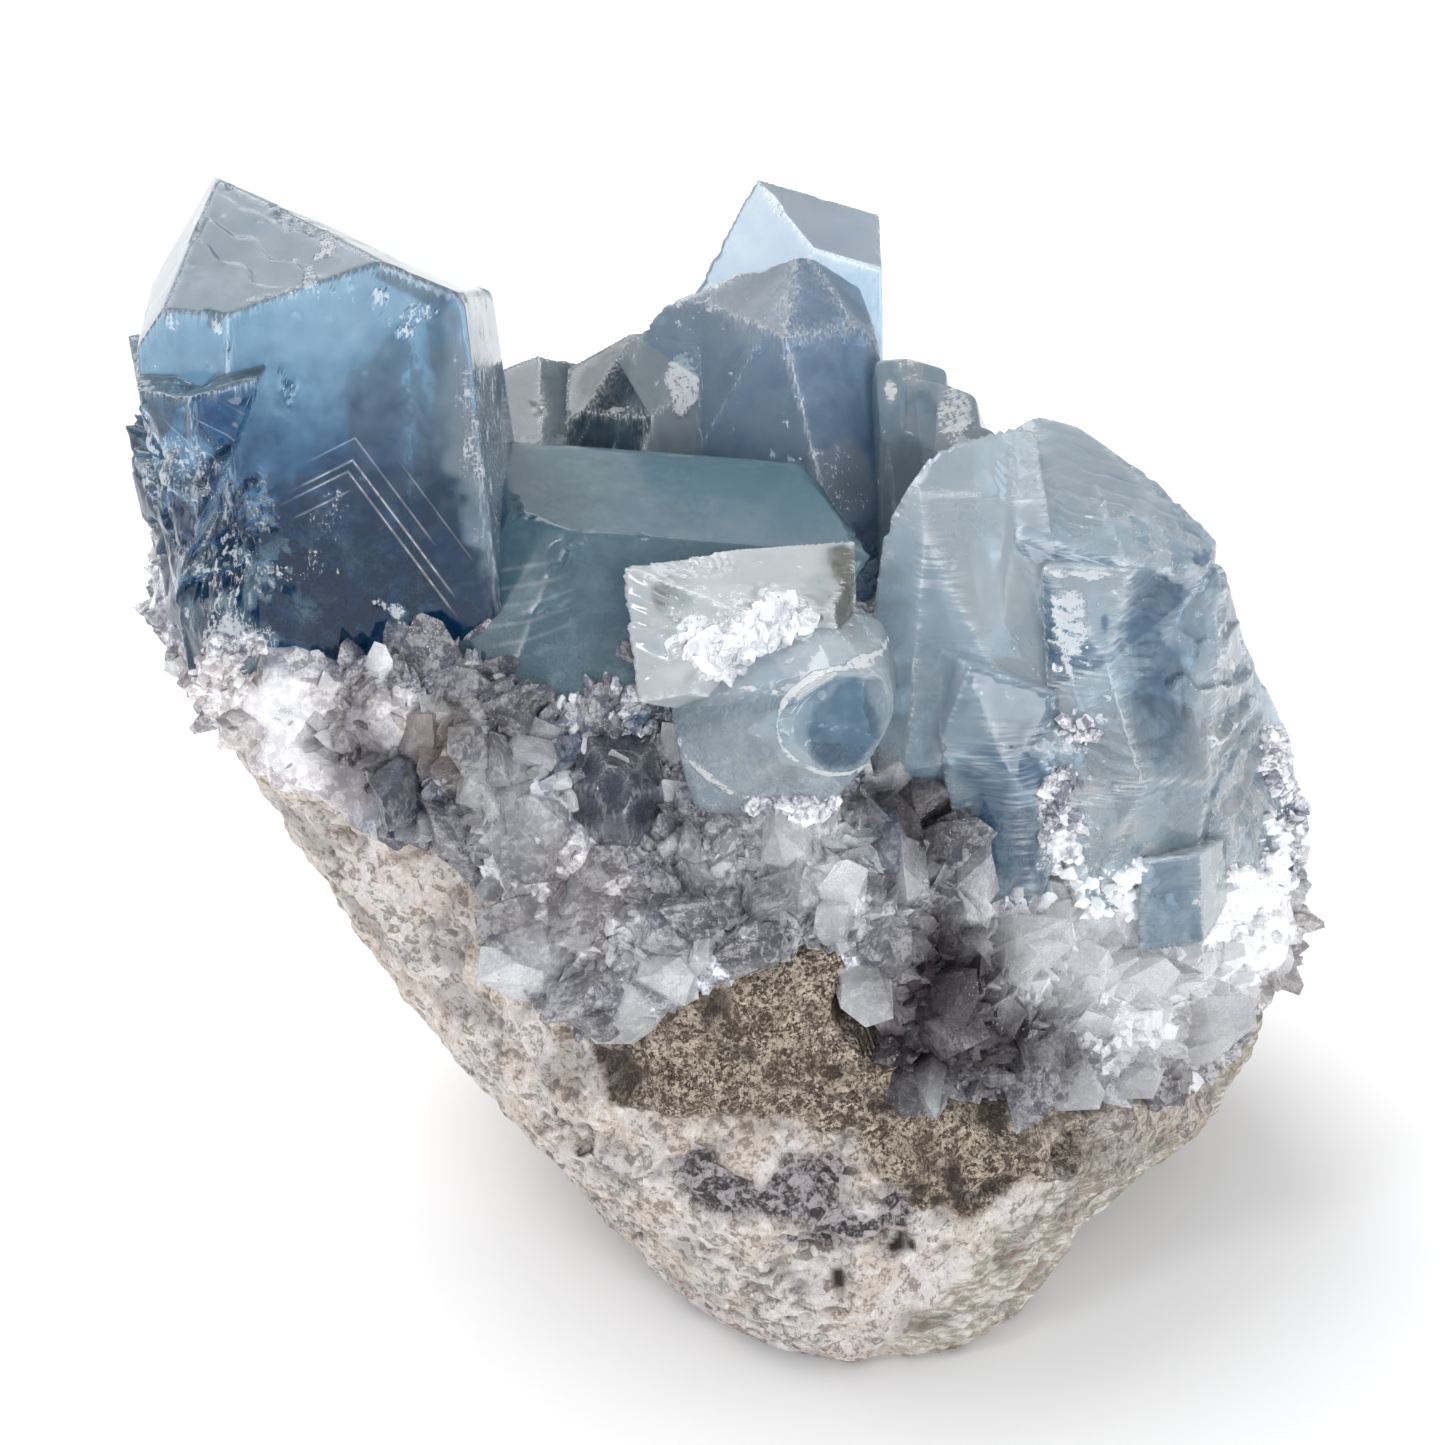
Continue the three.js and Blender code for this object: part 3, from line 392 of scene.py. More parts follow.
# Zones of the stone: closed outlines of [bearing in degrees, height in mm].
BROWN_FACE = [
    [238, 21], [241, 23.5], [246, 24.8], [254, 27.4], [260, 29], [266, 28.5], [273, 30],
    [279, 27], [281, 22.8], [288, 19.8], [301, 18], [316, 15.6], [330, 12.5], [343, 9.4],
    [349, 7], [340, 5.2], [329, 6], [319, 6.9], [310, 9], [303, 10.4], [292, 10.6],
    [284, 11.6], [279, 14], [275, 16.2], [268, 17.6], [260, 18], [250, 17], [243, 17.2],
]
LAYERED_EDGE = [
    [279, -1], [283, 4.5], [290, 6.6], [297, 8.2], [307, 9], [317, 8.2], [330, 6.4], [343, 6.6],
    [352, 9], [359.9, 12], [359.9, -1],
]
GLASSY_POCKET = [
    [250, 14], [256, 16], [262, 16.6], [270, 15.6], [276, 15.8], [281, 14.2], [284, 12],
    [283.5, 9.2], [279, 7.8], [273, 9.4], [268, 9], [262, 11], [255, 12],
]
SHADOW_GAP = [
    [279.5, 28], [282, 21.2], [288, 17.6], [296, 16.6], [304, 15.6], [312, 14.4], [325, 12],
    [338, 9.6], [338, 10.4], [325, 13.6], [312, 16.6], [304, 17.8], [296, 18.8], [288, 20.2],
    [284, 24], [282, 28.4],
]


# The crack in the stone as seen by a camera that looks 30 degrees down: across and up the view.
CRACK = [(8.6, 9.0), (12.9, 4.7), (17.2, 4.2), (23.0, 2.8)]
CRACK_WIDTH = 0.5
HEIGHT_SEEN, DEPTH_SEEN = 0.866, 0.5


def crack_mask(places):
    """A mask that is 1 along the crack's line as seen from the front."""
    level = HEIGHT_SEEN * places[..., 2] + DEPTH_SEEN * places[..., 1]
    seen = np.stack([places[..., 0], 0 * level, level], axis=-1).reshape(-1, 3)
    mask = np.zeros(len(seen))
    for (left, high), (right, low) in zip(CRACK[:-1], CRACK[1:]):
        line = along_line(seen, [left, 0, high], [right, 0, low], CRACK_WIDTH, 0.6, 47)
        mask = np.maximum(mask, line)
    return mask.reshape(level.shape) * eased(-places[..., 1], 2, 6)


def stone_zones(places, wide):
    """Shares of the brown face, the layered edge, the glassy pocket and the gap under the crust:
    their outlines, made ragged by clouds."""
    ragged = 0.9 * clouds(places, 3.0, 3, 11)
    heights = places[..., 2] + ragged
    brown = inside_outline(BROWN_FACE, wide + 2 * ragged, heights, 0.35)
    brown = brown * (1 - 0.6 * eased(places[..., 0] + 3 * ragged, 17, 26))
    layered = inside_outline(LAYERED_EDGE, wide, heights, 0.8) * (1 - brown)
    glassy = inside_outline(GLASSY_POCKET, wide + 2 * ragged, heights, 0.4) * (1 - brown)
    glassy = glassy * eased(cloud(places, 2.2, 45), -0.6, -0.15)
    gap = inside_outline(SHADOW_GAP, wide, places[..., 2], 0.5)
    gap = gap * eased(cloud(places, 2.6, 46), -0.5, 0.1)
    return brown, layered, glassy, gap


def stone_pits(places):
    """Slots where flat grains fell out, small round pits and hair cracks, each in broad patches
    of cloud."""
    slots = eased(grown_facets(places * [1.0, 1.0, 1.5], 2.6, 21), 0.72, 0.95)
    slots = slots * eased(cloud(places, 6, 22), 0.0, 0.45)
    small_pits = eased(grains(places * [0.8, 0.8, 1.3], 0.9, 25), 0.66, 0.9)
    small_pits = small_pits * eased(cloud(places, 3.4, 26), -0.1, 0.4)
    cracked = np.exp(-((clouds(places * [1, 1, 1.6], 5.5, 3, 35) / 0.035) ** 2))
    cracked = cracked * eased(cloud(places, 7, 39), 0.05, 0.4)
    return slots, small_pits, cracked


def rind_clouds(places):
    """The clouds that swell the rind and set its painted shade in the low parts."""
    return clouds(places, 3.2, 4, 12)


def brown_clouds(places):
    """The clouds that swell the brown face and set its painted shade in the low parts."""
    return clouds(places, 3.2, 5, 16)


def build_stone():
    """The stone: the profile through its four rings at each bearing, with its hollows, then rows
    that fall to the axis under the crust. Each zone has its own relief, and the relief of a place
    is the sum of zone share times relief, less pits, cracks and the gap under the crust."""
    columns, side_rows, crowding_upwards = 690, 134, 0.93
    bearings = bearings_closer_in_front(columns)
    along = np.linspace(0, 1, side_rows) ** crowding_upwards
    side = profile_through([BASE_RING, FOOT_RING, BULGE_RING, CONTACT_RING], bearings, along)
    places = round_about(side, bearings)
    rise = eased(along, 0.0, 0.06)[:, None] * (1 - eased(along, 0.985, 1.0)[:, None])
    angle = np.radians(bearings)
    outward = np.stack([np.cos(angle), np.sin(angle), 0 * angle], axis=-1)
    push = bumps(places, 0.55) * rise
    places = places + outward * push[..., None]
    places[..., 2] += push * 0.4
    places = hollowed(places, bearings)

    wide = np.broadcast_to(bearings, places.shape[:2])
    brown, layered, glassy, gap = stone_zones(places, wide)
    rind = (1 - brown) * (1 - glassy)
    slots, small_pits, cracked = stone_pits(places)
    split = crack_mask(places)
    slanted = places[..., 2] * 0.83 - (wide - 300) * MM_PER_DEGREE * 0.42
    layers = abs(((slanted + 0.5 * clouds(places, 3.5, 3, 31)) / 0.9) % 1 - 0.5) * 2
    relief = (
        rind * (0.34 * rind_clouds(places) + 0.3 * grown_facets(places, 1.3, 14) - 0.1)
        + brown * (0.9 * brown_clouds(places) + 0.34 * grown_facets(places, 1.1, 17))
        + layered * 0.45 * (layers - 0.5)
        + glassy * (0.9 * grown_facets(places, 2.2, 18) - 0.85)
        - (0.8 * slots + 0.3 * small_pits) * rind * (1 - layered)
        - 0.35 * cracked * brown
        - 1.7 * gap
        - 1.1 * split
    )
    places = places + outward * (relief * rise)[..., None]

    # Painted shade: the gap under the crust, the crack, the floors of the hollows, the low parts of
    # the brown face and the rind, and the hair cracks are darkened where shade falls.
    dark = 0.9 * np.maximum(gap, split)
    for centre, half, _ in HOLLOWS[1:]:
        floor = patch(places, centre, np.array(half) * 0.85, 0.6, 48)
        dark = np.maximum(dark, eased(floor, 0.2, 0.6))
    dark = np.maximum(dark, brown * 0.8 * eased(-brown_clouds(places), 0.1, 0.45))
    dark = np.maximum(dark, rind * 0.35 * eased(-rind_clouds(places), 0.15, 0.5))
    dark = np.maximum(dark, 0.7 * cracked * brown)
    # Painted shade in the slots and small pits.
    pits = np.maximum(0.8 * slots, 0.55 * small_pits) * rind * (1 - 0.6 * layered)
    shade = np.maximum(dark, pits)

    grid = np.concatenate([places, hidden_rows(CONTACT_RING, STONE_TOP_HEIGHT, bearings)])
    everything = with_ends(grid, 0, STONE_TOP_HEIGHT)
    marks = np.zeros((len(everything), 4))
    marks[: shade.size] = np.stack([brown, layered, glassy, shade], axis=-1).reshape(-1, 4)
    return add_mesh("stone", everything, shell_faces(len(grid), columns), marks=marks)


def crust_grid(columns, side_rows, top_rows):
    """Places and normals of the smooth crust: the profile through its rings at each bearing, then
    a low cone to its centre."""
    bearings = bearings_closer_in_front(columns)
    rings = [lifted(CONTACT_RING, CONTACT_GAP), CRUST_SIDE_RING, SHOULDER_RING, PLATEAU_RING]
    along = np.linspace(0, 1, side_rows)
    side = profile_through(rings, bearings, along)
    shares = np.linspace(1, 0, top_rows + 2)[1:-1, None]
    edge = ring_at(PLATEAU_RING, bearings)
    heights = CRUST_TOP_HEIGHT + (edge[:, 1] - CRUST_TOP_HEIGHT) * shares
    cone = np.stack([edge[:, 0] * shares, heights], axis=-1)
    places = round_about(np.concatenate([side, cone]), bearings)
    return bearings, along, places, grid_normals(places)


# The smoky channel also carries painted shade.
BEIGE, SMOKY_AND_SHADE, WHITE, BLUE = range(4)

# Zones of the crust: centre, radius, colour and strength. The back has clouds of colour instead:
# colour, strength, size, seed, and the values between which the clouds show.
CRUST_ZONES = [
    ([-30, -11, 38], 7, BEIGE, 0.5), ([-24, -12, 35], 8, BEIGE, 0.35),
    ([-27, -13, 37], 4, WHITE, 0.5), ([-12, -18, 34], 4, WHITE, 0.6),
    ([-16, -15, 38], 3, BEIGE, 0.9), ([-9, -19, 30], 5, BEIGE, 0.3),
    ([-11, -19, 27], 4, WHITE, 0.4), ([-4, -21, 27], 3.5, WHITE, 0.5),
    ([-20, -15, 35], 5, BLUE, 0.6), ([-10, -15, 36], 4, BLUE, 0.6),
    ([-21.5, -14.5, 35], 4.5, SMOKY_AND_SHADE, 0.45), ([-15, -16, 33], 4, SMOKY_AND_SHADE, 0.4),
    ([1, -20.5, 33.5], 4, WHITE, 0.25), ([5, -20, 33], 4, WHITE, 0.6),
    ([8, -20, 30], 4, WHITE, 0.3), ([11, -16, 33], 4, SMOKY_AND_SHADE, 0.7), ([9, -20, 34], 3, BLUE, 0.5),
    # The smoky zone of strength 1.0 at [10, -22, 22] is painted shade in the hollow.
    ([14, -21, 24], 7, SMOKY_AND_SHADE, 0.9), ([10, -22, 22], 5, SMOKY_AND_SHADE, 1.0),
    ([17, -20, 20], 5, SMOKY_AND_SHADE, 0.5), ([18, -18, 27], 4, WHITE, 0.9),
    ([22, -17, 26], 7, WHITE, 1.2), ([27, -13, 22], 8, WHITE, 1.2),
    ([33, -7, 20], 8, WHITE, 1.2), ([26, -15, 18], 5, WHITE, 0.6),
    ([29, -12, 15], 6, BEIGE, 0.3), ([34, -5, 15], 6, BEIGE, 0.4),
    ([-24, -3, 43], 9, BLUE, 1.0), ([-7, -3, 38], 10, BLUE, 0.9),
    ([3, 14, 38], 9, BLUE, 0.8), ([22, -3, 30], 10, BLUE, 0.6),
]
BACK_CLOUDS = [(BEIGE, 0.4, 6, 71, 0, 0.5), (WHITE, 0.6, 7, 72, -0.2, 0.4)]


def crust_marks(places):
    """Shares of beige, smoky colour with some painted shade, white and blue at each place: the
    strongest of its zones, each with a ragged edge, and clouds at the back."""
    marks = np.zeros(places.shape[:-1] + (4,))
    for number, (centre, radius, kind, strength) in enumerate(CRUST_ZONES):
        soft = strength * patch(places, centre, radius, 0.35, 60 + number)
        marks[..., kind] = np.maximum(marks[..., kind], soft)
    back = eased(places[..., 1], 0, 8)
    for kind, strength, size, seed, low, high in BACK_CLOUDS:
        soft = back * strength * eased(clouds(places, size, 2, seed), low, high)
        marks[..., kind] = np.maximum(marks[..., kind], soft)
    return marks


def build_crust():
    """The crust: its smooth grid pushed out along its normals by flat-faced crystals of two
    sizes and fine clouds. What lies under the great crystals keeps its smooth form."""
    columns, side_rows, top_rows = 660, 118, 18
    bearings, along, places, normals = crust_grid(columns, side_rows, top_rows)
    share = np.concatenate([along, np.ones(top_rows)])[:, None]
    open_edge = eased(share, 0.0, 0.03)
    covered = 1 - 0.9 * eased(share, 0.55, 0.8)
    places = places + normals * (bumps(places, 0.5) * open_edge)[..., None]
    left = eased(-places[..., 0], 2, 12) * eased(-places[..., 1], 2, 8)
    relief = (
        (1.3 + 0.7 * left) * grown_facets(places, 3.6, 51)
        + 1.0 * grown_facets(places, 1.7, 52)
        + 0.25 * clouds(places, 1.6, 3, 54)
        - 1.1
    )
    relief = relief * covered * (0.25 + 0.75 * open_edge) * open_edge
    places = places + normals * relief[..., None]
    floor_height = STONE_TOP_HEIGHT + CONTACT_GAP
    hidden = hidden_rows(lifted(CONTACT_RING, CONTACT_GAP), floor_height, bearings)
    grid = np.concatenate([hidden[::-1], places])
    everything = with_ends(grid, floor_height, CRUST_TOP_HEIGHT)
    faces = shell_faces(len(grid), columns)
    return add_mesh("druse_crust_skin", everything, faces, marks=crust_marks(everything))


# Crystals

SAME_FACE = 0.9999  # cosine between normals from which two planes are one
NEARLY_LEVEL = 0.97  # cosine between normals from which two faces share no edge that shows
JOIN_SLACK = 0.6  # mm by which a further body may stand off those before it
EDGE_FADE = 0.22  # mm from an edge at which its brightness has fallen to 1/e
EDGED = (10, 60)  # roundings from which edges begin to show and show fully
CHIP_DEPTH = 0.5  # mm taken off an edge where it is chipped
SWELL, FINE_SWELL = 0.06, 0.008  # mm by which a face wanders in broad and in fine clouds
STEP_SPACING = 1.7  # mm between growth steps
HIDDEN_TONE, HIDDEN_FROST = 0.5, 0.1


def way_to(bearing, rise):
    """The unit vector with that bearing and rise, both in degrees."""
    bearing, rise = math.radians(bearing), math.radians(rise)
    level = math.cos(rise)
    return np.array([level * math.cos(bearing), level * math.sin(bearing), math.sin(rise)])


def body_planes(body):
    """The outward normals and distances of a body's faces. A named face goes through three
    corners; a hidden one is [bearing, rise, distance from the heart]; a body without named faces
    has every plane through three corners that leaves no corner outside."""
    names = list(body["corners"])
    corners = np.array([body["corners"][name] for name in names], float)
    heart = corners.mean(axis=0)
    normals, distances, tones, frosts = [], [], [], []
    if "faces" in body:
        for text, tone, frost in body["faces"]:
            a, b, c = (np.array(body["corners"][name], float) for name in text.split())
            normal = np.cross(b - a, c - a)
            normal /= np.linalg.norm(normal)
            if normal @ (heart - a) > 0:
                normal = -normal
            normals.append(normal)
            distances.append(normal @ a)
            tones.append(tone)
            frosts.append(frost)
    else:
        triples = np.array(list(itertools.combinations(range(len(corners)), 3)))
        a, b, c = (corners[triples[:, k]] for k in range(3))
        normal = np.cross(b - a, c - a)
        length = np.linalg.norm(normal, axis=1)
        kept = length > TINY
        normal = normal[kept] / length[kept, None]
        distance = np.sum(normal * a[kept], axis=1)
        side = corners @ normal.T - distance
        for sign in (1, -1):
            outer = (sign * side <= TINY).all(axis=0)
            for n, d in zip(sign * normal[outer], sign * distance[outer]):
                if not any(n @ other > SAME_FACE for other in normals):
                    normals.append(n)
                    distances.append(d)
                    tones.append(0.15 + 0.7 * float(hashed(np.round(n * 9), 3)))
                    frosts.append(0.08 * float(hashed(np.round(n * 9), 4)))
    for bearing, rise, distance in body.get("hidden", []):
        normal = way_to(bearing, rise)
        normals.append(normal)
        distances.append(normal @ heart + distance)
        tones.append(HIDDEN_TONE)
        frosts.append(HIDDEN_FROST)
    return np.array(normals), np.array(distances), np.array(tones), np.array(frosts)


def wisps(points, size, thinness, seed):
    """Thin wisps from 0 to 1: clouds folded about their middle, exp(-(value / thinness)^2), in
    broad patches."""
    folded = np.exp(-((clouds(points, size, 3, seed) / thinness) ** 2))
    return folded * eased(cloud(points, size * 2.2, seed + 4), -0.2, 0.5)


def along_line(points, start, end, width, raggedness, seed):
    """A mask that is 1 on the straight line from start to end and 0 past the width from it, its
    edge made ragged by clouds."""
    start, end = np.array(start), np.array(end)
    share = np.clip((points - start) @ (end - start) / ((end - start) @ (end - start)), 0, 1)
    away = np.linalg.norm(points - start - share[:, None] * (end - start), axis=1) / width
    away = away + raggedness * clouds(points, 1.1, 2, seed)
    return eased(1 - away, 0.0, 0.5)


def here(mask):
    """The numbers of the points that a mask touches, and the mask there."""
    near = np.flatnonzero(mask > 0.001)
    return near, mask[near]


def seen_from(heart, ways, body, reach, rounding, seed):
    """A body's skin seen from the heart. In a direction w it ends where the least
    (distance - n.heart) / n.w of its faces is, taken softly as the power sum of the inverse
    reaches. A body that the heart is outside of is seen where it starts within JOIN_SLACK of the
    reach of those before it. Returns its reach (0 where it isn't seen), the tone and frost of the
    nearest face, and how close an edge is, as exp(-gap / EDGE_FADE)."""
    normals, distances, tones, frosts = body_planes(body)
    spare = distances - normals @ heart
    facing = ways @ normals.T
    pull = np.where(facing > TINY, facing / np.where(spare > TINY, spare, TINY), 0)
    strongest = pull.max(axis=1)
    soft = strongest * np.sum((pull / strongest[:, None]) ** rounding, axis=1) ** (1 / rounding)
    out = 1 / soft
    if not (spare > 0).all():
        entering = np.where(facing < -TINY, spare / np.where(facing < -TINY, facing, -1), -FAR)
        come_in = entering.max(axis=1)
        misses = ((spare <= 0) & (facing >= -TINY)).any(axis=1)
        leaving = np.where(facing > TINY, spare / np.where(facing > TINY, facing, 1), FAR)
        out = np.where(misses, 0, leaving.min(axis=1))
        out = np.where((come_in < out) & (come_in <= reach + JOIN_SLACK), out, 0)
    which = pull.argmax(axis=1)
    level_with = normals @ normals.T > NEARLY_LEVEL
    second = np.where(level_with[which], 0, pull).max(axis=1)
    gap = (1 - second / strongest) * out
    if "ragged" in body:
        depth, size = body["ragged"]
        edge_places = heart + ways * out[:, None]
        out = out - depth * np.maximum(0, 0.3 + clouds(edge_places, size, 3, seed + 50))
    return out, tones[which], frosts[which], np.exp(-gap / EDGE_FADE) * eased(rounding, *EDGED)


class Skin:
    """The places of a crystal's skin before it is pushed out, how far it is pushed, and its
    marks."""

    def __init__(self, places, push, tone, frost, haze, seed):
        self.places, self.push, self.seed = places, push, seed
        self.tone, self.frost, self.haze = tone, frost, haze

    def brighten(self, near, frost):
        """Frost where there is less."""
        self.frost[near] = np.maximum(self.frost[near], frost)


def broken(skin, centre, radius, depth, size, bright):
    """A broken zone: flat-faced steps of two sizes, with frosted rims and some facets painted lit
    as glints.
    """
    seed = skin.seed
    near, where = here(patch(skin.places, centre, radius, 0.35, seed + 12))
    at = skin.places[near]
    rough = grown_facets(at, size, seed + 13)
    small = grown_facets(at, size / 2.3, seed + 21)
    skin.push[near] += where * depth * (0.7 * rough + 0.35 * small - 0.75)
    rims = eased(abs(rough - 0.55 - 0.4 * clouds(at, size, 2, seed + 14)), 0.1, 0.02)
    facet_tone = hashed(np.floor(at / size + rough[:, None]), seed) - 0.5
    # Painted glints on some facets.
    painted_lit_facets = np.maximum(eased(small, 0.8, 1.0), eased(facet_tone, 0.25, 0.3))
    skin.brighten(near, where * bright * np.maximum(rims, 0.4 * painted_lit_facets))
    skin.tone[near] += where * (0.8 * facet_tone + 0.6 * bright * painted_lit_facets)


def ridges(skin, centre, radius, height, spacing, direction, bright):
    """Uneven ridges across a direction: each rises over 0.8 of the spacing and falls over 0.2, with
    a painted highlight at its crest and painted shade at its foot."""
    seed = skin.seed
    near, where = here(patch(skin.places, centre, radius, 0.3, seed + 17))
    at = skin.places[near]
    line = at @ np.array(direction) + 0.35 * clouds(at, 3.0, 3, seed + 18)
    line = line / spacing + 0.3 * cloud(at, 1.5, seed + 22)
    wave = np.minimum(line % 1 / 0.8, (1 - line % 1) / 0.2)
    uneven = 0.4 + 0.6 * hashed(np.stack([np.floor(line)] * 3, -1), seed + 23)
    skin.push[near] += where * height * (wave - 0.5) * uneven
    # Painted highlight at the crest.
    skin.brighten(near, where * bright * eased(wave, 0.76, 1.0) * uneven)
    # Painted shade at the foot.
    skin.tone[near] -= where * 0.25 * bright * eased(wave, 0.4, 0.05)


def touch(skin, centre, radius, tone_change, frost_change):
    """A patch of other tone and frost."""
    where = patch(skin.places, centre, radius, 0.35, skin.seed + 19)
    skin.tone = skin.tone + where * tone_change
    skin.frost = skin.frost + where * frost_change


def streak(skin, start, end, width, tone_change, frost_change):
    """A line of other tone that is frosted, or clear of frost where the change is below 0."""
    where = along_line(skin.places, start, end, width, 0.45, skin.seed + 20)
    skin.tone = skin.tone + where * tone_change
    cleared = skin.frost * (1 - where * max(-frost_change, 0))
    skin.frost = np.maximum(cleared, where * frost_change)


def rim(skin, centre, normal, radius, width, bright):
    """A frosted ring about a centre, square to a normal."""
    away = skin.places - np.array(centre)
    level = away @ np.array(normal)
    round_it = np.linalg.norm(away - level[:, None] * np.array(normal), axis=1)
    near = np.hypot(round_it - radius, np.minimum(abs(level), 3 * width) * 0.12) / width
    near = near + 0.5 * clouds(skin.places, 1.0, 2, skin.seed + 24)
    skin.frost = np.maximum(skin.frost, bright * eased(1 - near, 0.0, 0.5))


def hazy(skin, centre, radius, change):
    """A patch of more haze."""
    skin.haze = skin.haze + change * patch(skin.places, centre, radius, 0.3, skin.seed + 25)


DETAIL_KINDS = {
    "broken": broken, "ridges": ridges, "touch": touch, "streak": streak, "rim": rim, "hazy": hazy,
}


def build_crystal(name, bodies, columns, rows, seed, haze, heart=None, rounding=90.0, steps=0.0,
                  shade=None):
    """The joined skin of one or more flat-faced bodies, seen from a common heart: in each
    direction the reach is the largest of the bodies' reaches. Clouds, chipped edges, small steps
    and the details move the skin in or out and change its marks: tone, frost, edge and haze."""
    rise = (np.arange(rows) + 0.5) / rows * 180 - 90
    turn = np.arange(columns) * 360 / columns
    rise, turn = np.meshgrid(np.radians(rise), np.radians(turn), indexing="ij")
    ways = np.stack([np.cos(rise) * np.cos(turn), np.cos(rise) * np.sin(turn), np.sin(rise)], -1)
    ways = np.concatenate([ways.reshape(-1, 3), [[0, 0, -1], [0, 0, 1]]])
    if heart is None:
        heart = np.mean(list(bodies[0]["corners"].values()), axis=0)
    heart = np.array(heart, float)
    reach, tone, frost, edge = (np.zeros(len(ways)) for _ in range(4))
    for body in bodies:
        out, *found = seen_from(heart, ways, body, reach, rounding, seed)
        wins = out > reach
        reach = np.where(wins, out, reach)
        tone, frost, edge = (np.where(wins, *pair) for pair in zip(found, (tone, frost, edge)))
    places = heart + ways * reach[:, None]

    push = SWELL * clouds(places, 5.0, 2, seed) + FINE_SWELL * clouds(places, 1.6, 2, seed + 5)
    push -= CHIP_DEPTH * edge * eased(clouds(places, 1.6, 3, seed + 9), 0.3, 0.75)
    tone = tone + 0.16 * clouds(places, 6.5, 3, seed + 30)
    frost = frost * eased(clouds(places, 2.2, 3, seed + 31), -0.15, 0.6)
    flakes = eased(grains(places, 1.3, seed + 32), 0.88, 0.96)
    frost = np.maximum(frost, 0.9 * flakes * eased(cloud(places, 4.5, seed + 36), 0.2, 0.6))
    haze = haze * (0.1 + 0.9 * eased(clouds(places, 5.5, 3, seed + 37), -0.35, 0.55))
    haze = np.maximum(haze, 0.8 * wisps(places, 3.4, 0.05, seed + 41))
    if steps:
        climb = places[:, 2] + 0.35 * places[:, 0] + 0.8 * cloud(places, 6, seed + 7)
        ladder = climb / STEP_SPACING
        patches = eased(cloud(places, 5, seed + 8), -0.1, 0.4)
        push += steps * (abs(ladder % 1 - 0.5) * 2 - 0.5) * patches
    skin = Skin(places, push, tone, frost, haze, seed)
    for kind, *values in DETAILS.get(name, []):
        DETAIL_KINDS[kind](skin, *values)
    places = places + ways * skin.push[:, None]
    tone = skin.tone
    if shade is not None:
        low, high, change = shade
        tone = tone + change * (1 - eased(places[:, 2], low, high))
    marks = np.stack([tone, skin.frost, edge, skin.haze], axis=-1)
    return add_mesh(name, places, shell_faces(rows, columns), marks=marks)


# Bodies: named corners in mm; faces through three corners, with their tone and frost; hidden
# faces as [bearing, rise, distance from the heart]; ragged edges as (depth, size).

LEFT_TALL = {
    "corners": {
        "gable": [-19.1, -9, 65.4], "ridgeEnd": [-29.1, 2, 65.7],
        "shoulderRight": [-14.7, -8.5, 63.5], "backRight": [-14.9, 6, 57.6],
        "edgeRight": [-13.9, -9, 54.1], "lowRight": [-12.7, 3, 45],
        "shoulderLeft": [-27.9, -9.5, 62.4], "bevelTop": [-29.6, 1.4, 65.7],
        "bevelLeft": [-33.9, -2, 58.7], "bevelFront": [-31.7, -7.5, 62.1],
        "sideLow": [-32.6, -5, 46], "sideBack": [-33.4, 4, 50],
        "frontLow": [-29, -10.2, 46], "foot": [-21.6, -10, 38.3],
    },
    "faces": [
        ("shoulderLeft edgeRight foot", 0.46, 0.04),
        ("ridgeEnd gable shoulderLeft", 0.6, 0.12),
        ("ridgeEnd gable backRight", 0.9, 0.25),
        ("shoulderRight edgeRight lowRight", 0.75, 0.1),
        ("bevelTop bevelLeft bevelFront", 0.5, 0.2),
        ("bevelLeft sideLow sideBack", 0.55, 0.25),
        ("bevelFront shoulderLeft frontLow", 0.65, 0.25),
    ],
    "hidden": [[95, 12, 11], [140, 18, 12.5], [60, 8, 13], [0, -90, 18]],
}
LEFT_STEP = {
    "corners": {
        "topLeft": [-34.6, -3, 57.1], "topFront": [-33.4, -9, 57.4],
        "topMid": [-30.1, -11.5, 58.7], "topRight": [-26, -11, 59.2],
        "rightLow": [-29, -12.3, 52], "rightBack": [-25.6, -5, 59.2],
        "frontMid": [-30.6, -13, 49], "frontLow": [-27, -13.6, 42], "leftLow": [-32.6, -8, 46],
        "leftBack": [-33.4, 2, 48], "foot": [-31.6, -8, 39],
    },
    "faces": [
        ("topLeft topFront topRight", 0.6, 0.25),
        ("topMid topRight frontMid", 0.05, 0.05),
        ("topFront topMid frontMid", 0.25, 0.1),
        ("topLeft topFront leftLow", 0.5, 0.35),
        ("topRight rightLow rightBack", 0.5, 0.3),
    ],
    "hidden": [[0, 0, 7], [90, 5, 9], [0, -90, 12], [215, -20, 5.5]],
    "ragged": (0.8, 3.0),
}
LEFT_FOOT = {
    "corners": {
        "topLeft": [-33.4, -8, 51.6], "topFront": [-30.5, -12.4, 49.6],
        "topRight": [-26.0, -10.8, 47.6], "sideLow": [-23.6, -11.8, 41],
        "frontMid": [-29.4, -13.4, 45], "leftLow": [-32.8, -8.4, 44],
        "frontLow": [-27, -13.6, 41.5], "foot": [-31, -8, 39],
    },
    "faces": [
        ("topLeft topFront topRight", 0.55, 0.2),
        ("topFront topRight frontMid", 0.25, 0.05),
        ("topFront topLeft frontMid", 0.35, 0.05),
        ("topLeft leftLow frontMid", 0.4, 0.05),
    ],
    "hidden": [[297, 3, 1.3], [185, -8, 4.2], [90, 5, 9], [0, -90, 5.0], [215, -20, 6]],
    "ragged": (1.9, 2.6),
}
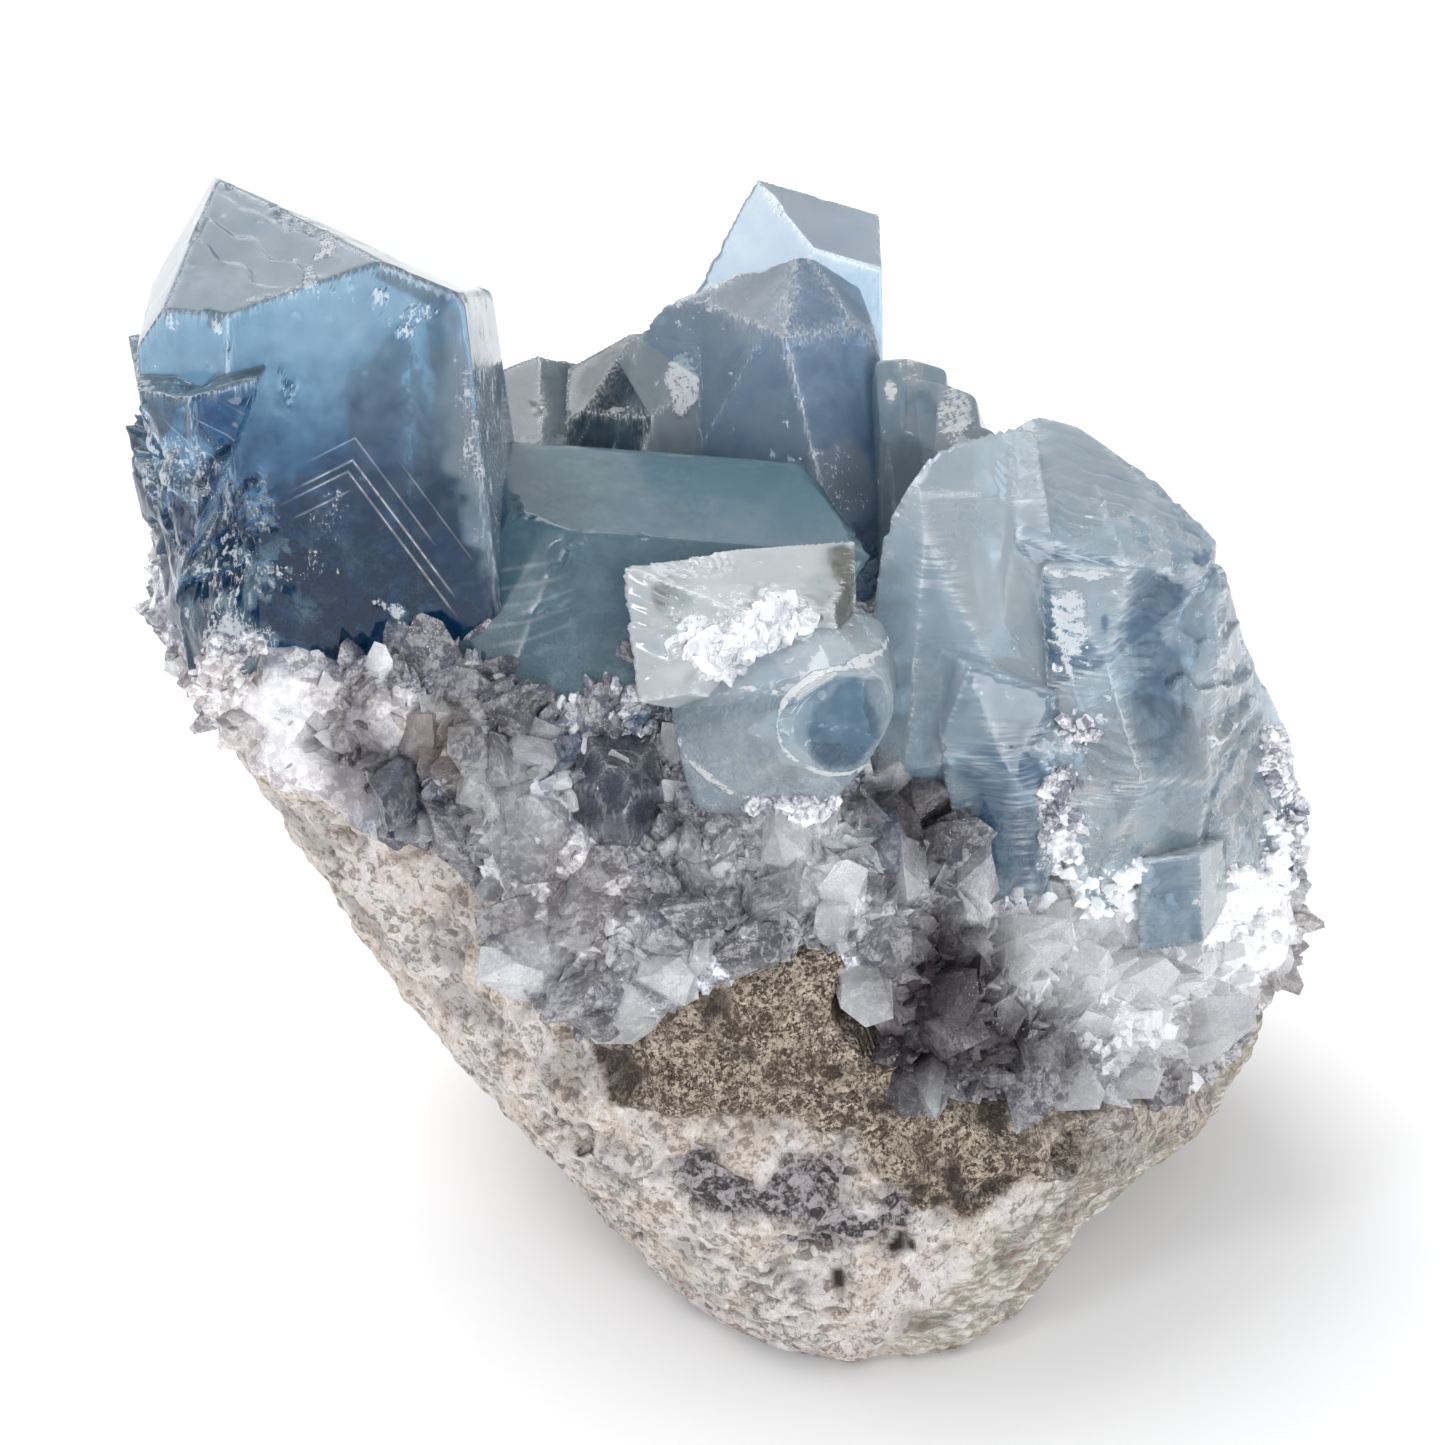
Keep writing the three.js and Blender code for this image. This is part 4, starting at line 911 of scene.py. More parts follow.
MIDDLE_WIDE = {
    "corners": {
        "ridgeLeft": [-14.5, 5, 47.6], "ridgeRight": [5, 5, 46], "backLow": [-4, 8.4, 38],
        "shoulderRight": [7.3, -4, 45.7], "foldLeft": [-14.6, -7, 44.8],
        "peak": [-9, -7.5, 47.7], "foldRight": [2, -8, 46.4], "frontLow": [-7.7, -13, 38.9],
        "leftLow": [-18.4, -9.5, 39.6], "rightLow": [3, -13, 38.5],
    },
    "faces": [
        ("ridgeLeft ridgeRight peak", 0.6, 0.25),
        ("peak foldRight frontLow", 0.72, 0.06),
        ("foldLeft peak leftLow", 0.45, 0.1),
        ("foldLeft leftLow ridgeLeft", 0.7, 0.2),
        ("ridgeRight shoulderRight rightLow", 0.15, 0.1),
        ("ridgeLeft ridgeRight backLow", 0.5, 0.1),
    ],
    "hidden": [[270, -10, 10.5], [0, -90, 11], [182, -6, 13.5]],
}
FRONT_CLEAR = {
    "corners": {
        "topLeft": [-5.2, -12, 47.7], "topHump": [-3.3, -10.5, 48.1], "topMid": [0.7, -8, 47.9],
        "topRight": [7.3, -7, 47.2], "cornerRight": [8.2, -8.5, 46.9],
        "lowRight": [8.2, -11, 42], "lipRight": [6.4, -14.6, 46.2], "lipMid": [1.2, -16, 46.8],
        "frontRight": [3.6, -16.6, 44.7], "frontMid": [-1.1, -17, 43.4],
        "frontLeft": [-4.5, -15.6, 42.1], "sideLeft": [-5.6, -13.6, 45.6],
        "foot": [-2.6, -15.6, 40.4],
    },
    "faces": [
        ("topLeft topMid lipMid", 0.95, 0.5),
        ("topMid topRight lipRight", 0.9, 0.4),
        ("lipRight lipMid frontMid", 0.9, 0.4),
        ("lipRight cornerRight lowRight", 0.1, 0.05),
        ("sideLeft topLeft frontLeft", 0.8, 0.3),
        ("lipMid sideLeft frontMid", 0.75, 0.2),
        ("frontLeft foot sideLeft", 0.6, 0.3),
    ],
    "hidden": [[90, 10, 6], [0, 2, 6.8], [0, -90, 9], [270, -35, 5.5]],
}
FRONT_ROUNDED = {
    "corners": {
        "rimA": [4, -22.6, 41.8], "rimB": [4.4, -21.8, 44.6], "rimC": [6.6, -20.6, 45.4],
        "rimD": [9.2, -19.6, 44.4], "rimE": [9.9, -19.2, 42], "rimF": [8.6, -20.4, 39.6],
        "rimG": [5.8, -21.8, 39.6], "topLeft": [-2.5, -14, 41.6], "topBack": [1, -11, 44],
        "backRight": [9.4, -11, 43.6], "leftTip": [-3.1, -16.6, 40],
        "leftLow": [-3.1, -18, 39.2], "keel": [0.3, -20.6, 37.4], "keelEnd": [5.5, -20.4, 35.9],
        "foot": [8, -15, 36],
    },
    "faces": [
        ("rimA rimC rimE", 0.3, 0.02),
        ("rimB topLeft topBack", 0.55, 0.1),
        ("rimC rimB topBack", 0.9, 0.3),
        ("rimC rimD backRight", 0.8, 0.2),
        ("rimD rimE backRight", 0.7, 0.1),
        ("rimE rimF foot", 0.6, 0.1),
        ("rimF keelEnd foot", 0.6, 0.1),
        ("rimA leftLow keel", 0.5, 0.05),
        ("rimB leftTip leftLow", 0.5, 0.1),
        ("rimG keel keelEnd", 0.7, 0.1),
    ],
    "hidden": [[90, 5, 8], [0, -90, 5.5], [180, -15, 7.2]],
}
REAR_FRONT_TWIN = {
    "corners": {
        "apex": [4.9, 16, 56.1], "apexLeft": [1.6, 18, 55.1], "frontLeft": [-2.8, 13, 53.9],
        "frontLow": [3.9, 10.5, 51.8], "rightTop": [8.2, 16, 52.7],
        "rightFront": [8.4, 13, 51.5], "rightLow": [10.2, 10, 41], "sideTop": [-4.5, 17, 52.9],
        "sideFront": [-5.2, 13, 51.7], "sideLow": [-6.4, 15, 45], "foot": [2.7, 9.6, 43.5],
    },
    "faces": [
        ("apex frontLeft frontLow", 0.8, 0.1),
        ("apex frontLow rightFront", 0.25, 0.1),
        ("frontLeft frontLow foot", 0.35, 0.08),
        ("frontLow rightFront rightLow", 0.3, 0.06),
        ("sideTop frontLeft sideFront", 0.6, 0.1),
        ("sideFront sideLow frontLeft", 0.1, 0.1),
        ("apex rightTop rightFront", 0.5, 0.1),
        ("apex apexLeft sideTop", 0.6, 0.1),
        ("sideTop sideFront sideLow", 0.5, 0.1),
    ],
    "hidden": [[90, 10, 8.5], [15, 2, 7.6], [0, -90, 20], [150, 6, 10]],
}
REAR_BACK_TWIN = {
    "corners": {
        "top": [2.1, 21, 58.1], "topRight": [9.2, 20, 55.7], "left": [-0.7, 21, 52.5],
        "inner": [4.8, 16.5, 56.4], "rightLow": [10.6, 18, 37], "leftLow": [-2.5, 21, 46],
    },
    "faces": [
        ("top topRight inner", 0.8, 0.2),
        ("top inner left", 0.6, 0.1),
        ("top left leftLow", 0.7, 0.1),
    ],
    "hidden": [[0, 1, 6.2], [90, 12, 6.5], [270, 0, 4.6], [45, 8, 7.6], [0, -90, 18], [135, 10, 7]],
}
LEFT_REAR_SMALL = {
    "corners": {
        "apex": [-6.6, 12, 49.6], "leftTop": [-9, 12, 48], "frontTop": [-8.8, 9.6, 47.2],
        "frontLow": [-8.6, 9, 44.6], "middle": [-4.4, 9.4, 46.8], "middleLow": [-4.6, 9, 43.6],
        "rightTop": [-1.8, 11.4, 48.2], "rightLow": [-1.4, 11, 44],
    },
    "faces": [
        ("apex leftTop frontTop", 0.3, 0.1),
        ("apex frontTop middle", 0.1, 0.1),
        ("frontTop frontLow middle", 0.0, 0.05),
        ("middle middleLow rightTop", 1.0, 0.35),
        ("apex middle rightTop", 0.8, 0.3),
    ],
    "hidden": [[180, 0, 4.2], [90, 10, 3.8], [0, 0, 4.4], [0, -90, 10]],
}
FAR_LEFT_SMALL = {
    "corners": {
        "apex": [-11.6, 14.5, 48.3], "left": [-13.6, 13, 46.4], "right": [-8.8, 13, 46.6],
        "front": [-11.4, 10.6, 46.2], "frontLow": [-11.4, 10, 42],
    },
    "faces": [("apex left front", 0.45, 0.1), ("apex front right", 0.25, 0.1)],
    "hidden": [[200, 0, 3.2], [340, 0, 3.2], [270, 5, 3.2], [90, 15, 3.4], [0, -90, 10]],
}
RIGHT_GREEN = {
    "corners": {
        "corner": [9.6, -4, 45.9], "topLeft": [11.6, -3, 49.2], "topBack": [12.8, 0, 49.4],
        "topRight": [15.5, 1, 49.4], "front": [12, -6, 46.4], "topFar": [18.6, -3.5, 47.8],
        "foot": [8.8, -8, 40.6], "keel": [10.7, -14, 36.5], "keelLow": [13.9, -16, 35],
        "right": [18.8, -8.4, 45.4],
    },
    "faces": [
        ("corner topLeft front", 0.7, 0.1),
        ("corner topLeft topBack", 0.6, 0.1),
        ("topLeft front topFar", 0.85, 0.1),
        ("topBack topRight topFar", 0.8, 0.3),
        ("front right keelLow", 0.55, 0.05),
        ("corner front keel", 0.75, 0.1),
        ("corner foot topBack", 0.6, 0.1),
    ],
    "hidden": [[0, 10, 6.5], [90, 5, 9], [0, -90, 17], [270, -28, 11.6]],
}
RIGHT_SLAB = {
    "corners": {
        "ridgeA": [17.1, 3, 49], "ridgeB": [19.3, 4, 49.6], "ridgeC": [21.6, 4, 49],
        "ridgeD": [24.1, 3, 47.5], "ridgeE": [26.5, 2, 46.1], "ridgeF": [28.1, 1, 44.5],
        "ridgeG": [30.2, 0, 43], "frontLeft": [17.4, -6, 46.4], "frontMid": [24, -6, 44.8],
        "frontRight": [29, -4, 42.6], "lowFront": [22, -10, 37], "lowRight": [29.5, -2, 36],
        "backLeft": [17.5, 9, 39], "backRight": [28, 8, 36], "lowLeft": [16, -4, 36],
        "lowBack": [22, 9, 34],
    },
}
RIGHT_SHELL = {
    "corners": {
        "topLeft": [18.7, -8, 45.6], "topMid": [24.3, -6.5, 44.6], "topRight": [30.6, -1, 41.9],
        "sideTop": [30.6, -1, 39.3], "sideMid": [32.2, -2, 35.6], "sideLow": [33.4, -1, 32],
        "brow": [22.4, -13.4, 42], "browLeft": [18.9, -13, 40], "bellyLeft": [19.4, -15.4, 33],
        "belly": [24.6, -16, 35.5], "bellyRight": [29, -12, 33], "lowLeft": [22, -15.6, 26],
        "lowRight": [28.4, -11.6, 25], "backTop": [24, 4, 42], "backRight": [31, 5, 33],
        "backLow": [25, 5, 25], "foot": [20, -4, 26],
    },
}
RIGHT_FOOT = {
    "corners": {
        "top": [14.4, -13.4, 42], "topRight": [19.6, -13.4, 40], "left": [12.6, -15, 37.4],
        "front": [17, -16, 36], "right": [20.2, -15.4, 32], "low": [18.6, -16.4, 26],
        "lowLeft": [14.8, -16.2, 27.6], "backTopLeft": [13, -8, 40],
        "backTopRight": [21, -8, 38], "backLow": [21, -9, 25.5], "backLowLeft": [13.4, -9, 27.6],
    },
}
RIGHT_WING = {
    "corners": {
        "top": [31.2, -1, 38.4], "shoulder": [33.6, 0, 32.3], "outer": [35.7, 1, 28.6],
        "outerLow": [35.9, 0, 24.5], "tip": [37.2, 2, 20.6], "tipLow": [37.2, 0, 18.9],
        "tipFront": [35.8, -2.4, 18.6], "frontTop": [29.6, -9.6, 31], "front": [31.4, -9.4, 26],
        "frontLow": [29.4, -10.6, 21], "backTop": [30, 6, 35], "back": [35, 6, 25],
        "backLow": [35.5, 6.5, 19.4], "footLeft": [27, 2, 22.4], "footFront": [26.6, -8, 22],
    },
}
RIGHT_WINDOW = {
    "corners": {
        "topLeft": [25.3, -15, 29.6], "topRight": [28.4, -14.4, 29.6],
        "lowLeft": [25.3, -15.8, 25], "lowRight": [28.8, -14.8, 25], "side": [30, -11, 28.4],
    },
    "faces": [
        ("topLeft topRight lowRight", 0.2, 0.02),
        ("topRight lowRight side", 0.9, 0.3),
        ("topLeft topRight side", 0.9, 0.4),
    ],
    "hidden": [[180, 0, 2.6], [90, 0, 4.5], [0, -90, 4]],
}
REAR_BUNCH = [
    {
        "corners": {
            "apex": [11.5, 12, 51.3], "left": [9.9, 10.4, 49.2], "right": [13.4, 11.4, 49.2],
            "front": [11.5, 8.8, 48], "low": [11.7, 9, 40],
        },
        "faces": [("apex left front", 0.4, 0.0), ("apex front right", 0.7, 0.3)],
        "hidden": [[185, 0, 2], [350, 5, 2.3], [270, 5, 2.6], [90, 35, 2.2], [0, -90, 12]],
    },
    {
        "corners": {
            "apex": [14.0, 12, 49.6], "left": [12.4, 10, 48], "right": [15.6, 11, 47.2],
            "front": [14.0, 9, 46.6], "low": [14.2, 9, 39],
        },
        "faces": [("apex left front", 0.9, 0.4), ("apex front right", 0.6, 0.2)],
        "hidden": [[190, 0, 2.2], [355, 14, 2], [275, 8, 2.5], [85, 35, 2.0], [0, -90, 12]],
    },
    {
        "corners": {
            "apex": [15.6, 11, 47.4], "left": [14.0, 9, 46], "right": [17.0, 10, 45],
            "front": [15.4, 8, 44.4], "low": [15.6, 8, 37],
        },
        "faces": [("apex left front", 1.0, 0.4), ("apex front right", 0.8, 0.3)],
        "hidden": [[185, 0, 2.4], [0, 20, 2], [270, 8, 2.4], [90, 35, 2.0], [0, -90, 12]],
    },
]
DARK_DOME = {
    "corners": {"heart": [-6.1, -16.6, 34.6]},
    "faces": [],
    "hidden": [
        [0, 84, 3], [200, 44, 2.9], [335, 46, 2.8], [265, 40, 3], [180, 10, 2.8], [0, 12, 2.8],
        [222, 8, 2.6], [318, 8, 2.6], [225, -30, 2.7], [320, -28, 2.7], [270, -6, 3],
        [268, -46, 2.8], [90, 10, 4.4], [0, -90, 4],
    ],
}
BACK_LEFT = {
    "corners": {
        "apex": [-20, 17, 50.5], "left": [-23.6, 17, 47], "right": [-16.4, 17, 47.5],
        "front": [-20, 13.5, 46.5], "back": [-20, 21, 46], "low": [-20, 17, 39],
    },
    "faces": [
        ("apex left front", 0.6, 0.1), ("apex right front", 0.5, 0.1),
        ("apex left back", 0.7, 0.2), ("apex right back", 0.55, 0.1),
    ],
    "hidden": [[180, 0, 3.8], [0, 0, 3.8], [90, 4, 4], [270, 0, 3.6], [0, -90, 9]],
}
BACK_RIGHT = {
    "corners": {
        "apex": [20, 15, 40.5], "left": [16, 15.5, 37], "right": [24, 15, 36],
        "front": [20, 11.5, 37], "back": [20.5, 20, 35], "low": [20, 15, 28],
    },
    "faces": [
        ("apex left front", 0.6, 0.1), ("apex right front", 0.5, 0.1),
        ("apex left back", 0.7, 0.2), ("apex right back", 0.55, 0.1),
    ],
    "hidden": [[185, 0, 4.2], [5, 4, 4.4], [95, 4, 4.6], [275, 0, 3.8], [0, -90, 13]],
}


# Druse crystals


def spots_on_crust(count, region, chance):
    """Places and normals picked on the smooth crust, by area times the region's weight."""
    _, _, places, normals = crust_grid(360, 90, 16)
    weight = region(places) * np.linalg.norm(
        np.cross(np.gradient(places, axis=0), np.gradient(places, axis=1)), axis=-1
    )
    weight = weight.ravel()
    picked = chance.choice(len(weight), size=count, p=weight / weight.sum())
    return places.reshape(-1, 3)[picked], normals.reshape(-1, 3)[picked]


def spots_on_piece(piece, count, patches, chance):
    """Places and normals picked from a piece's own points, by the strongest of its patches."""
    places = np.empty(len(piece.data.vertices) * 3)
    normals = np.empty_like(places)
    piece.data.vertices.foreach_get("co", places)
    piece.data.vertices.foreach_get("normal", normals)
    places = places.reshape(-1, 3) / MM - DRAWING_TO_FRAME
    weight = np.zeros(len(places))
    for number, (centre, radius) in enumerate(patches):
        weight = np.maximum(weight, patch(places, centre, radius, 0.4, 400 + number))
    picked = chance.choice(len(weight), size=count, p=weight / weight.sum())
    return places[picked], normals.reshape(-1, 3)[picked]


# One druse crystal: the bearings of its six corners, and its proportions to width and length.
CORNER_BEARINGS = [0, 52, 128, 180, 232, 308]
HALF_WIDTH, HALF_DEPTH = 0.5, 0.36
FOOT_SHARE, FOOT_HEIGHT, SHOULDER_HEIGHT = 0.95, -0.75, 0.32
TIP = [[-0.2, 0.0, 0.85], [0.22, 0.04, 0.9]]
TOP_FACES = [
    [6, 7, 13], [7, 8, 13], [8, 12, 13], [8, 9, 12], [9, 10, 12], [10, 11, 12], [11, 13, 12],
    [11, 6, 13],
]
FOOT_FACES = [[0, 5, 1], [1, 5, 4], [1, 4, 2], [2, 4, 3]]
CORNER_WANDER = 0.045
SHOULDER_WANDER = 0.16
SMALL_ONES = 2.4  # power of chance that makes small crystals more common than large ones
UPWARDS = [0, 0, 0.2]  # how far each one is drawn towards the upright


def druse_crystals(name, spots, ways, sizes, lean, smokiness, whiteness, chance):
    """Small crystals, all of one make: six corners round the foot, six round the shoulder and a
    chisel tip of two, each corner moved a little by chance, then stretched, turned and set on
    the spots. The width is low + (high - low) * chance^SMALL_ONES."""
    count = len(spots)
    axis = ways + chance.normal(0, lean, (count, 3)) + UPWARDS
    axis /= np.linalg.norm(axis, axis=1, keepdims=True)
    side = np.cross(axis, chance.normal(0, 1, (count, 3)))
    side /= np.linalg.norm(side, axis=1, keepdims=True)
    third = np.cross(axis, side)
    width = sizes[0] + (sizes[1] - sizes[0]) * chance.random(count) ** SMALL_ONES
    length = width * chance.uniform(0.6, 1.3, count)
    angle = np.radians(CORNER_BEARINGS)
    ring = np.stack([np.cos(angle) * HALF_WIDTH, np.sin(angle) * HALF_DEPTH], axis=-1)
    foot = np.concatenate([ring * FOOT_SHARE, np.full((6, 1), FOOT_HEIGHT)], axis=1)
    shoulder = np.concatenate([ring, np.full((6, 1), SHOULDER_HEIGHT)], axis=1)
    corners = np.concatenate([foot, shoulder, TIP])
    own = corners + chance.normal(0, CORNER_WANDER, (count, len(corners), 3))
    own[:, 6:12, 2] += chance.uniform(-SHOULDER_WANDER, SHOULDER_WANDER, (count, 6))
    own = own * np.stack([width, width, length], axis=-1)[:, None, :]
    frames = np.stack([side, third, axis], axis=1)
    made = np.einsum("ncx,nxy->ncy", own, frames) + spots[:, None, :]
    faces = []
    for k in range(6):
        m = (k + 1) % 6
        faces += [[k, m, 6 + m], [k, 6 + m, 6 + k]]
    faces += TOP_FACES + FOOT_FACES
    starts = (np.arange(count) * len(corners))[:, None, None]
    every = (np.array(faces)[None] + starts).reshape(-1, 3)
    flat = made.reshape(-1, 3)
    marks = crust_marks(flat)
    own_shade = np.repeat(chance.random((count, 2)), len(corners), axis=0)
    marks[..., SMOKY_AND_SHADE] = marks[..., SMOKY_AND_SHADE] * 0.9 + smokiness * own_shade[:, 0] ** 2
    bright = 0.8 * eased(own_shade[:, 1], 0.6, 0.95) * (1 - marks[..., SMOKY_AND_SHADE]).clip(0, 1)
    marks[..., WHITE] *= 0.6 + 0.4 * own_shade[:, 1]
    marks[..., WHITE] = (marks[..., WHITE] + bright + whiteness).clip(0, 1)
    return add_mesh(name, flat, every, smooth=False, marks=marks)


# Materials

NO_LIGHT, FULL_LIGHT = (0, 0, 0, 1), (1, 1, 1, 1)


def feed(tree, node, inputs):
    """Sets each input of a node to a value or joins it to another node's output."""
    for key, value in inputs.items():
        if isinstance(value, bpy.types.NodeSocket):
            tree.links.new(value, node.inputs[key])
        else:
            node.inputs[key].default_value = value
    return node


def put(tree, kind, inputs=None, **settings):
    """One node with its settings and its inputs."""
    node = tree.nodes.new("ShaderNode" + kind)
    for key, value in settings.items():
        setattr(node, key, value)
    return feed(tree, node, inputs or {})


def math_node(tree, operation, *values):
    """The result of one sum on numbers."""
    return put(tree, "Math", dict(enumerate(values)), operation=operation).outputs[0]


def vector_node(tree, operation, *values):
    """The result of one sum on vectors."""
    node = put(tree, "VectorMath", dict(enumerate(values)), operation=operation)
    return node.outputs["Value"] if operation == "DOT_PRODUCT" else node.outputs["Vector"]


def ranged(tree, value, low, high, to_low=0.0, to_high=1.0):
    """The value eased from low..high to to_low..to_high."""
    inputs = {
        "Value": value, "From Min": low, "From Max": high, "To Min": to_low, "To Max": to_high,
    }
    return put(tree, "MapRange", inputs, interpolation_type="SMOOTHSTEP").outputs["Result"]


def mixed(tree, share, first, second):
    """The first colour, with a share of the second."""
    node = put(tree, "Mix", {0: share, 6: first, 7: second}, data_type="RGBA")
    return node.outputs[2]


def tinted(tree, colour, target, value, low, high, most=1.0):
    """The colour, with up to most of the target as the value goes from low to high."""
    return mixed(tree, ranged(tree, value, low, high, 0.0, most), colour, target)


def noise(tree, place, scale, detail=2.0, roughness=0.6, distortion=0.0):
    """Noise from 0 to 1."""
    inputs = {
        "Vector": place, "Scale": scale, "Detail": detail, "Roughness": roughness,
        "Distortion": distortion,
    }
    return put(tree, "TexNoise", inputs).outputs[0]


def bumped(tree, height, strength, distance):
    """A normal bent by a height, whose 1 is the distance in metres."""
    inputs = {"Height": height, "Strength": strength, "Distance": distance}
    return put(tree, "Bump", inputs).outputs["Normal"]


def read_marks(tree):
    """The four marks of the piece at each point."""
    marks = put(tree, "Attribute", attribute_name="marks")
    parts = put(tree, "SeparateColor", {0: marks.outputs["Color"]})
    return (*parts.outputs, marks.outputs["Alpha"])


def make_group(name, inputs, outputs, build):
    """A shader node group: inputs are (name, kind, value), outputs are names of values, and build
    gets the group and its input sockets and returns the output sockets."""
    group = bpy.data.node_groups.new(name, "ShaderNodeTree")
    for label, kind, value in inputs:
        socket = group.interface.new_socket(label, in_out="INPUT", socket_type="NodeSocket" + kind)
        socket.default_value = value
    for label in outputs:
        group.interface.new_socket(label, in_out="OUTPUT", socket_type="NodeSocketFloat")
    start = group.nodes.new("NodeGroupInput")
    end = group.nodes.new("NodeGroupOutput")
    made = build(group, {label: start.outputs[label] for label, *_ in inputs})
    for label, socket in zip(outputs, made):
        group.links.new(socket, end.inputs[label])
    return group


def use_group(tree, group, inputs):
    """One use of a node group, with its inputs."""
    node = tree.nodes.new("ShaderNodeGroup")
    node.node_tree = group
    return feed(tree, node, inputs)


def chevron_lines(group, sockets):
    """Growth lines: the larger of two slanted distances from an apex, drawn as a thin line where
    it is a whole number of spacings, that fades past a reach and wavers."""
    away = vector_node(group, "SUBTRACT", sockets["Place"], sockets["Apex"])
    left = vector_node(group, "DOT_PRODUCT", away, sockets["Left Leg"])
    right = vector_node(group, "DOT_PRODUCT", away, sockets["Right Leg"])
    rings = math_node(group, "MAXIMUM", left, right)
    steps = math_node(group, "ADD", math_node(group, "DIVIDE", rings, sockets["Spacing"]), 0.5)
    centred = math_node(group, "SUBTRACT", math_node(group, "FRACT", steps), 0.5)
    off = math_node(group, "MULTIPLY", math_node(group, "ABSOLUTE", centred), sockets["Spacing"])
    line = ranged(group, off, sockets["Width"], 0.0)
    from_middle = vector_node(group, "SUBTRACT", sockets["Place"], sockets["Middle"])
    length = put(group, "VectorMath", {0: from_middle}, operation="LENGTH").outputs["Value"]
    near = math_node(group, "MULTIPLY", sockets["Reach"], 0.7)
    fade = ranged(group, length, sockets["Reach"], near)
    strength = math_node(group, "MULTIPLY", line, fade)
    return [math_node(group, "MULTIPLY", strength, sockets["Waver"])]


FROST_BUMP_START = 0.45
CELL_CONTRAST = 0.35


def crystal_frost(group, sockets):
    """Frost: white with a crisp edge where the marked frost and two noises together pass a limit;
    paler silvery lines of drawn-out noise, painted reflections of fractures; uneven bright edges,
    chipped rims with painted edge highlights. The height is coarse noise where the marked frost is
    above FROST_BUMP_START."""
    fine = noise(group, sockets["Place"], sockets["Scale"], 2.0, 0.75)
    drawn = vector_node(group, "MULTIPLY", sockets["Place"], sockets["Stretch"])
    lined = noise(group, drawn, 1.0, 2.0, 0.6)
    both = math_node(group, "MULTIPLY", sockets["Frost"], 1.3)
    both = math_node(group, "MULTIPLY_ADD", fine, 2.4, both)
    both = math_node(group, "MULTIPLY_ADD", lined, 1.2, both)
    frosted = ranged(group, both, 2.6, 3.2)
    # Painted reflections: silvery lines.
    both = math_node(group, "MULTIPLY_ADD", lined, 3.0, sockets["Frost"])
    painted_silver = ranged(group, both, 2.4, 2.75, 0.0, 0.75)
    # Edges: white chips with painted highlights.
    uneven = ranged(group, lined, 0.44, 0.62, 0.1, 0.8)
    chips_and_edge_highlight = math_node(group, "MULTIPLY", sockets["Edge"], uneven)
    white = math_node(group, "MAXIMUM", math_node(group, "MAXIMUM", frosted, painted_silver), chips_and_edge_highlight)
    rough = noise(group, drawn, 0.7, 1.0)
    frosty = math_node(group, "SUBTRACT", sockets["Frost"], FROST_BUMP_START)
    frosty = math_node(group, "MAXIMUM", frosty, 0.0)
    height = math_node(group, "MULTIPLY", rough, frosty)
    return [white, height]


def mineral_grain(group, sockets):
    """Grain: cells with hashed tones, mixed with finer noise; the height falls from each cell's
    middle."""
    cells = put(group, "TexVoronoi", {"Vector": sockets["Place"], "Scale": sockets["Scale"]})
    cell_tone = put(group, "SeparateColor", {0: cells.outputs["Color"]}).outputs[0]
    fine_scale = math_node(group, "MULTIPLY", sockets["Scale"], 1.9)
    fine = noise(group, sockets["Place"], fine_scale, 2.0, 0.75)
    cell_tone = math_node(group, "MULTIPLY", cell_tone, CELL_CONTRAST)
    tone = math_node(group, "ADD", cell_tone, fine)
    tone = math_node(group, "SUBTRACT", tone, CELL_CONTRAST / 2)
    fall = math_node(group, "MULTIPLY", cells.outputs["Distance"], 0.5)
    return [tone, math_node(group, "SUBTRACT", tone, fall)]


GROWTH_LINES = make_group(
    "growth_lines",
    [
        ("Place", "Vector", (0, 0, 0)), ("Apex", "Vector", (0, 0, 0)),
        ("Left Leg", "Vector", (0, 0, 1)), ("Right Leg", "Vector", (0, 0, 1)),
        ("Spacing", "Float", 1.0), ("Width", "Float", 0.1),
        ("Middle", "Vector", (0, 0, 0)), ("Reach", "Float", 10.0), ("Waver", "Float", 1.0),
    ],
    ["Mask"],
    chevron_lines,
)
FROST = make_group(
    "crystal_frost",
    [
        ("Place", "Vector", (0, 0, 0)), ("Stretch", "Vector", (1, 1, 1)),
        ("Scale", "Float", 2.4), ("Frost", "Float", 0.0), ("Edge", "Float", 0.0),
    ],
    ["White", "Height"],
    crystal_frost,
)
GRAIN = make_group(
    "mineral_grain",
    [("Place", "Vector", (0, 0, 0)), ("Scale", "Float", 1.0)],
    ["Tone", "Height"],
    mineral_grain,
)


def new_material(name):
    """A material with its shader, and the place on the piece in drawing millimetres."""
    material = bpy.data.materials.new(name)
    material.use_nodes = True
    tree = material.node_tree
    tree.nodes.clear()
    output = tree.nodes.new("ShaderNodeOutputMaterial")
    shader = tree.nodes.new("ShaderNodeBsdfPrincipled")
    tree.links.new(shader.outputs["BSDF"], output.inputs["Surface"])
    spot = put(tree, "TexCoord").outputs["Object"]
    mapping = {"Vector": spot, "Location": tuple(-DRAWING_TO_FRAME), "Scale": (1 / MM,) * 3}
    place = put(tree, "Mapping", mapping).outputs["Vector"]
    return material, tree, shader, output, place


def wear(piece, material):
    """Gives the piece its one material."""
    piece.data.materials.clear()
    piece.data.materials.append(material)


def rgb(*display):
    """A colour from display values 0 to 255, as linear light with full alpha."""
    linear = (((v / 255 + 0.055) / 1.055) ** 2.4 if v > 10 else v / 3295 for v in display)
    return (*linear, 1.0)


FROST_COLOUR = rgb(236, 241, 246)
MOST_FROST = 0.95
FROST_SCALE = 3.0
MOTTLE = 0.6
CLEAN_ROUGHNESS = 0.06
CELESTITE_IOR = 1.5


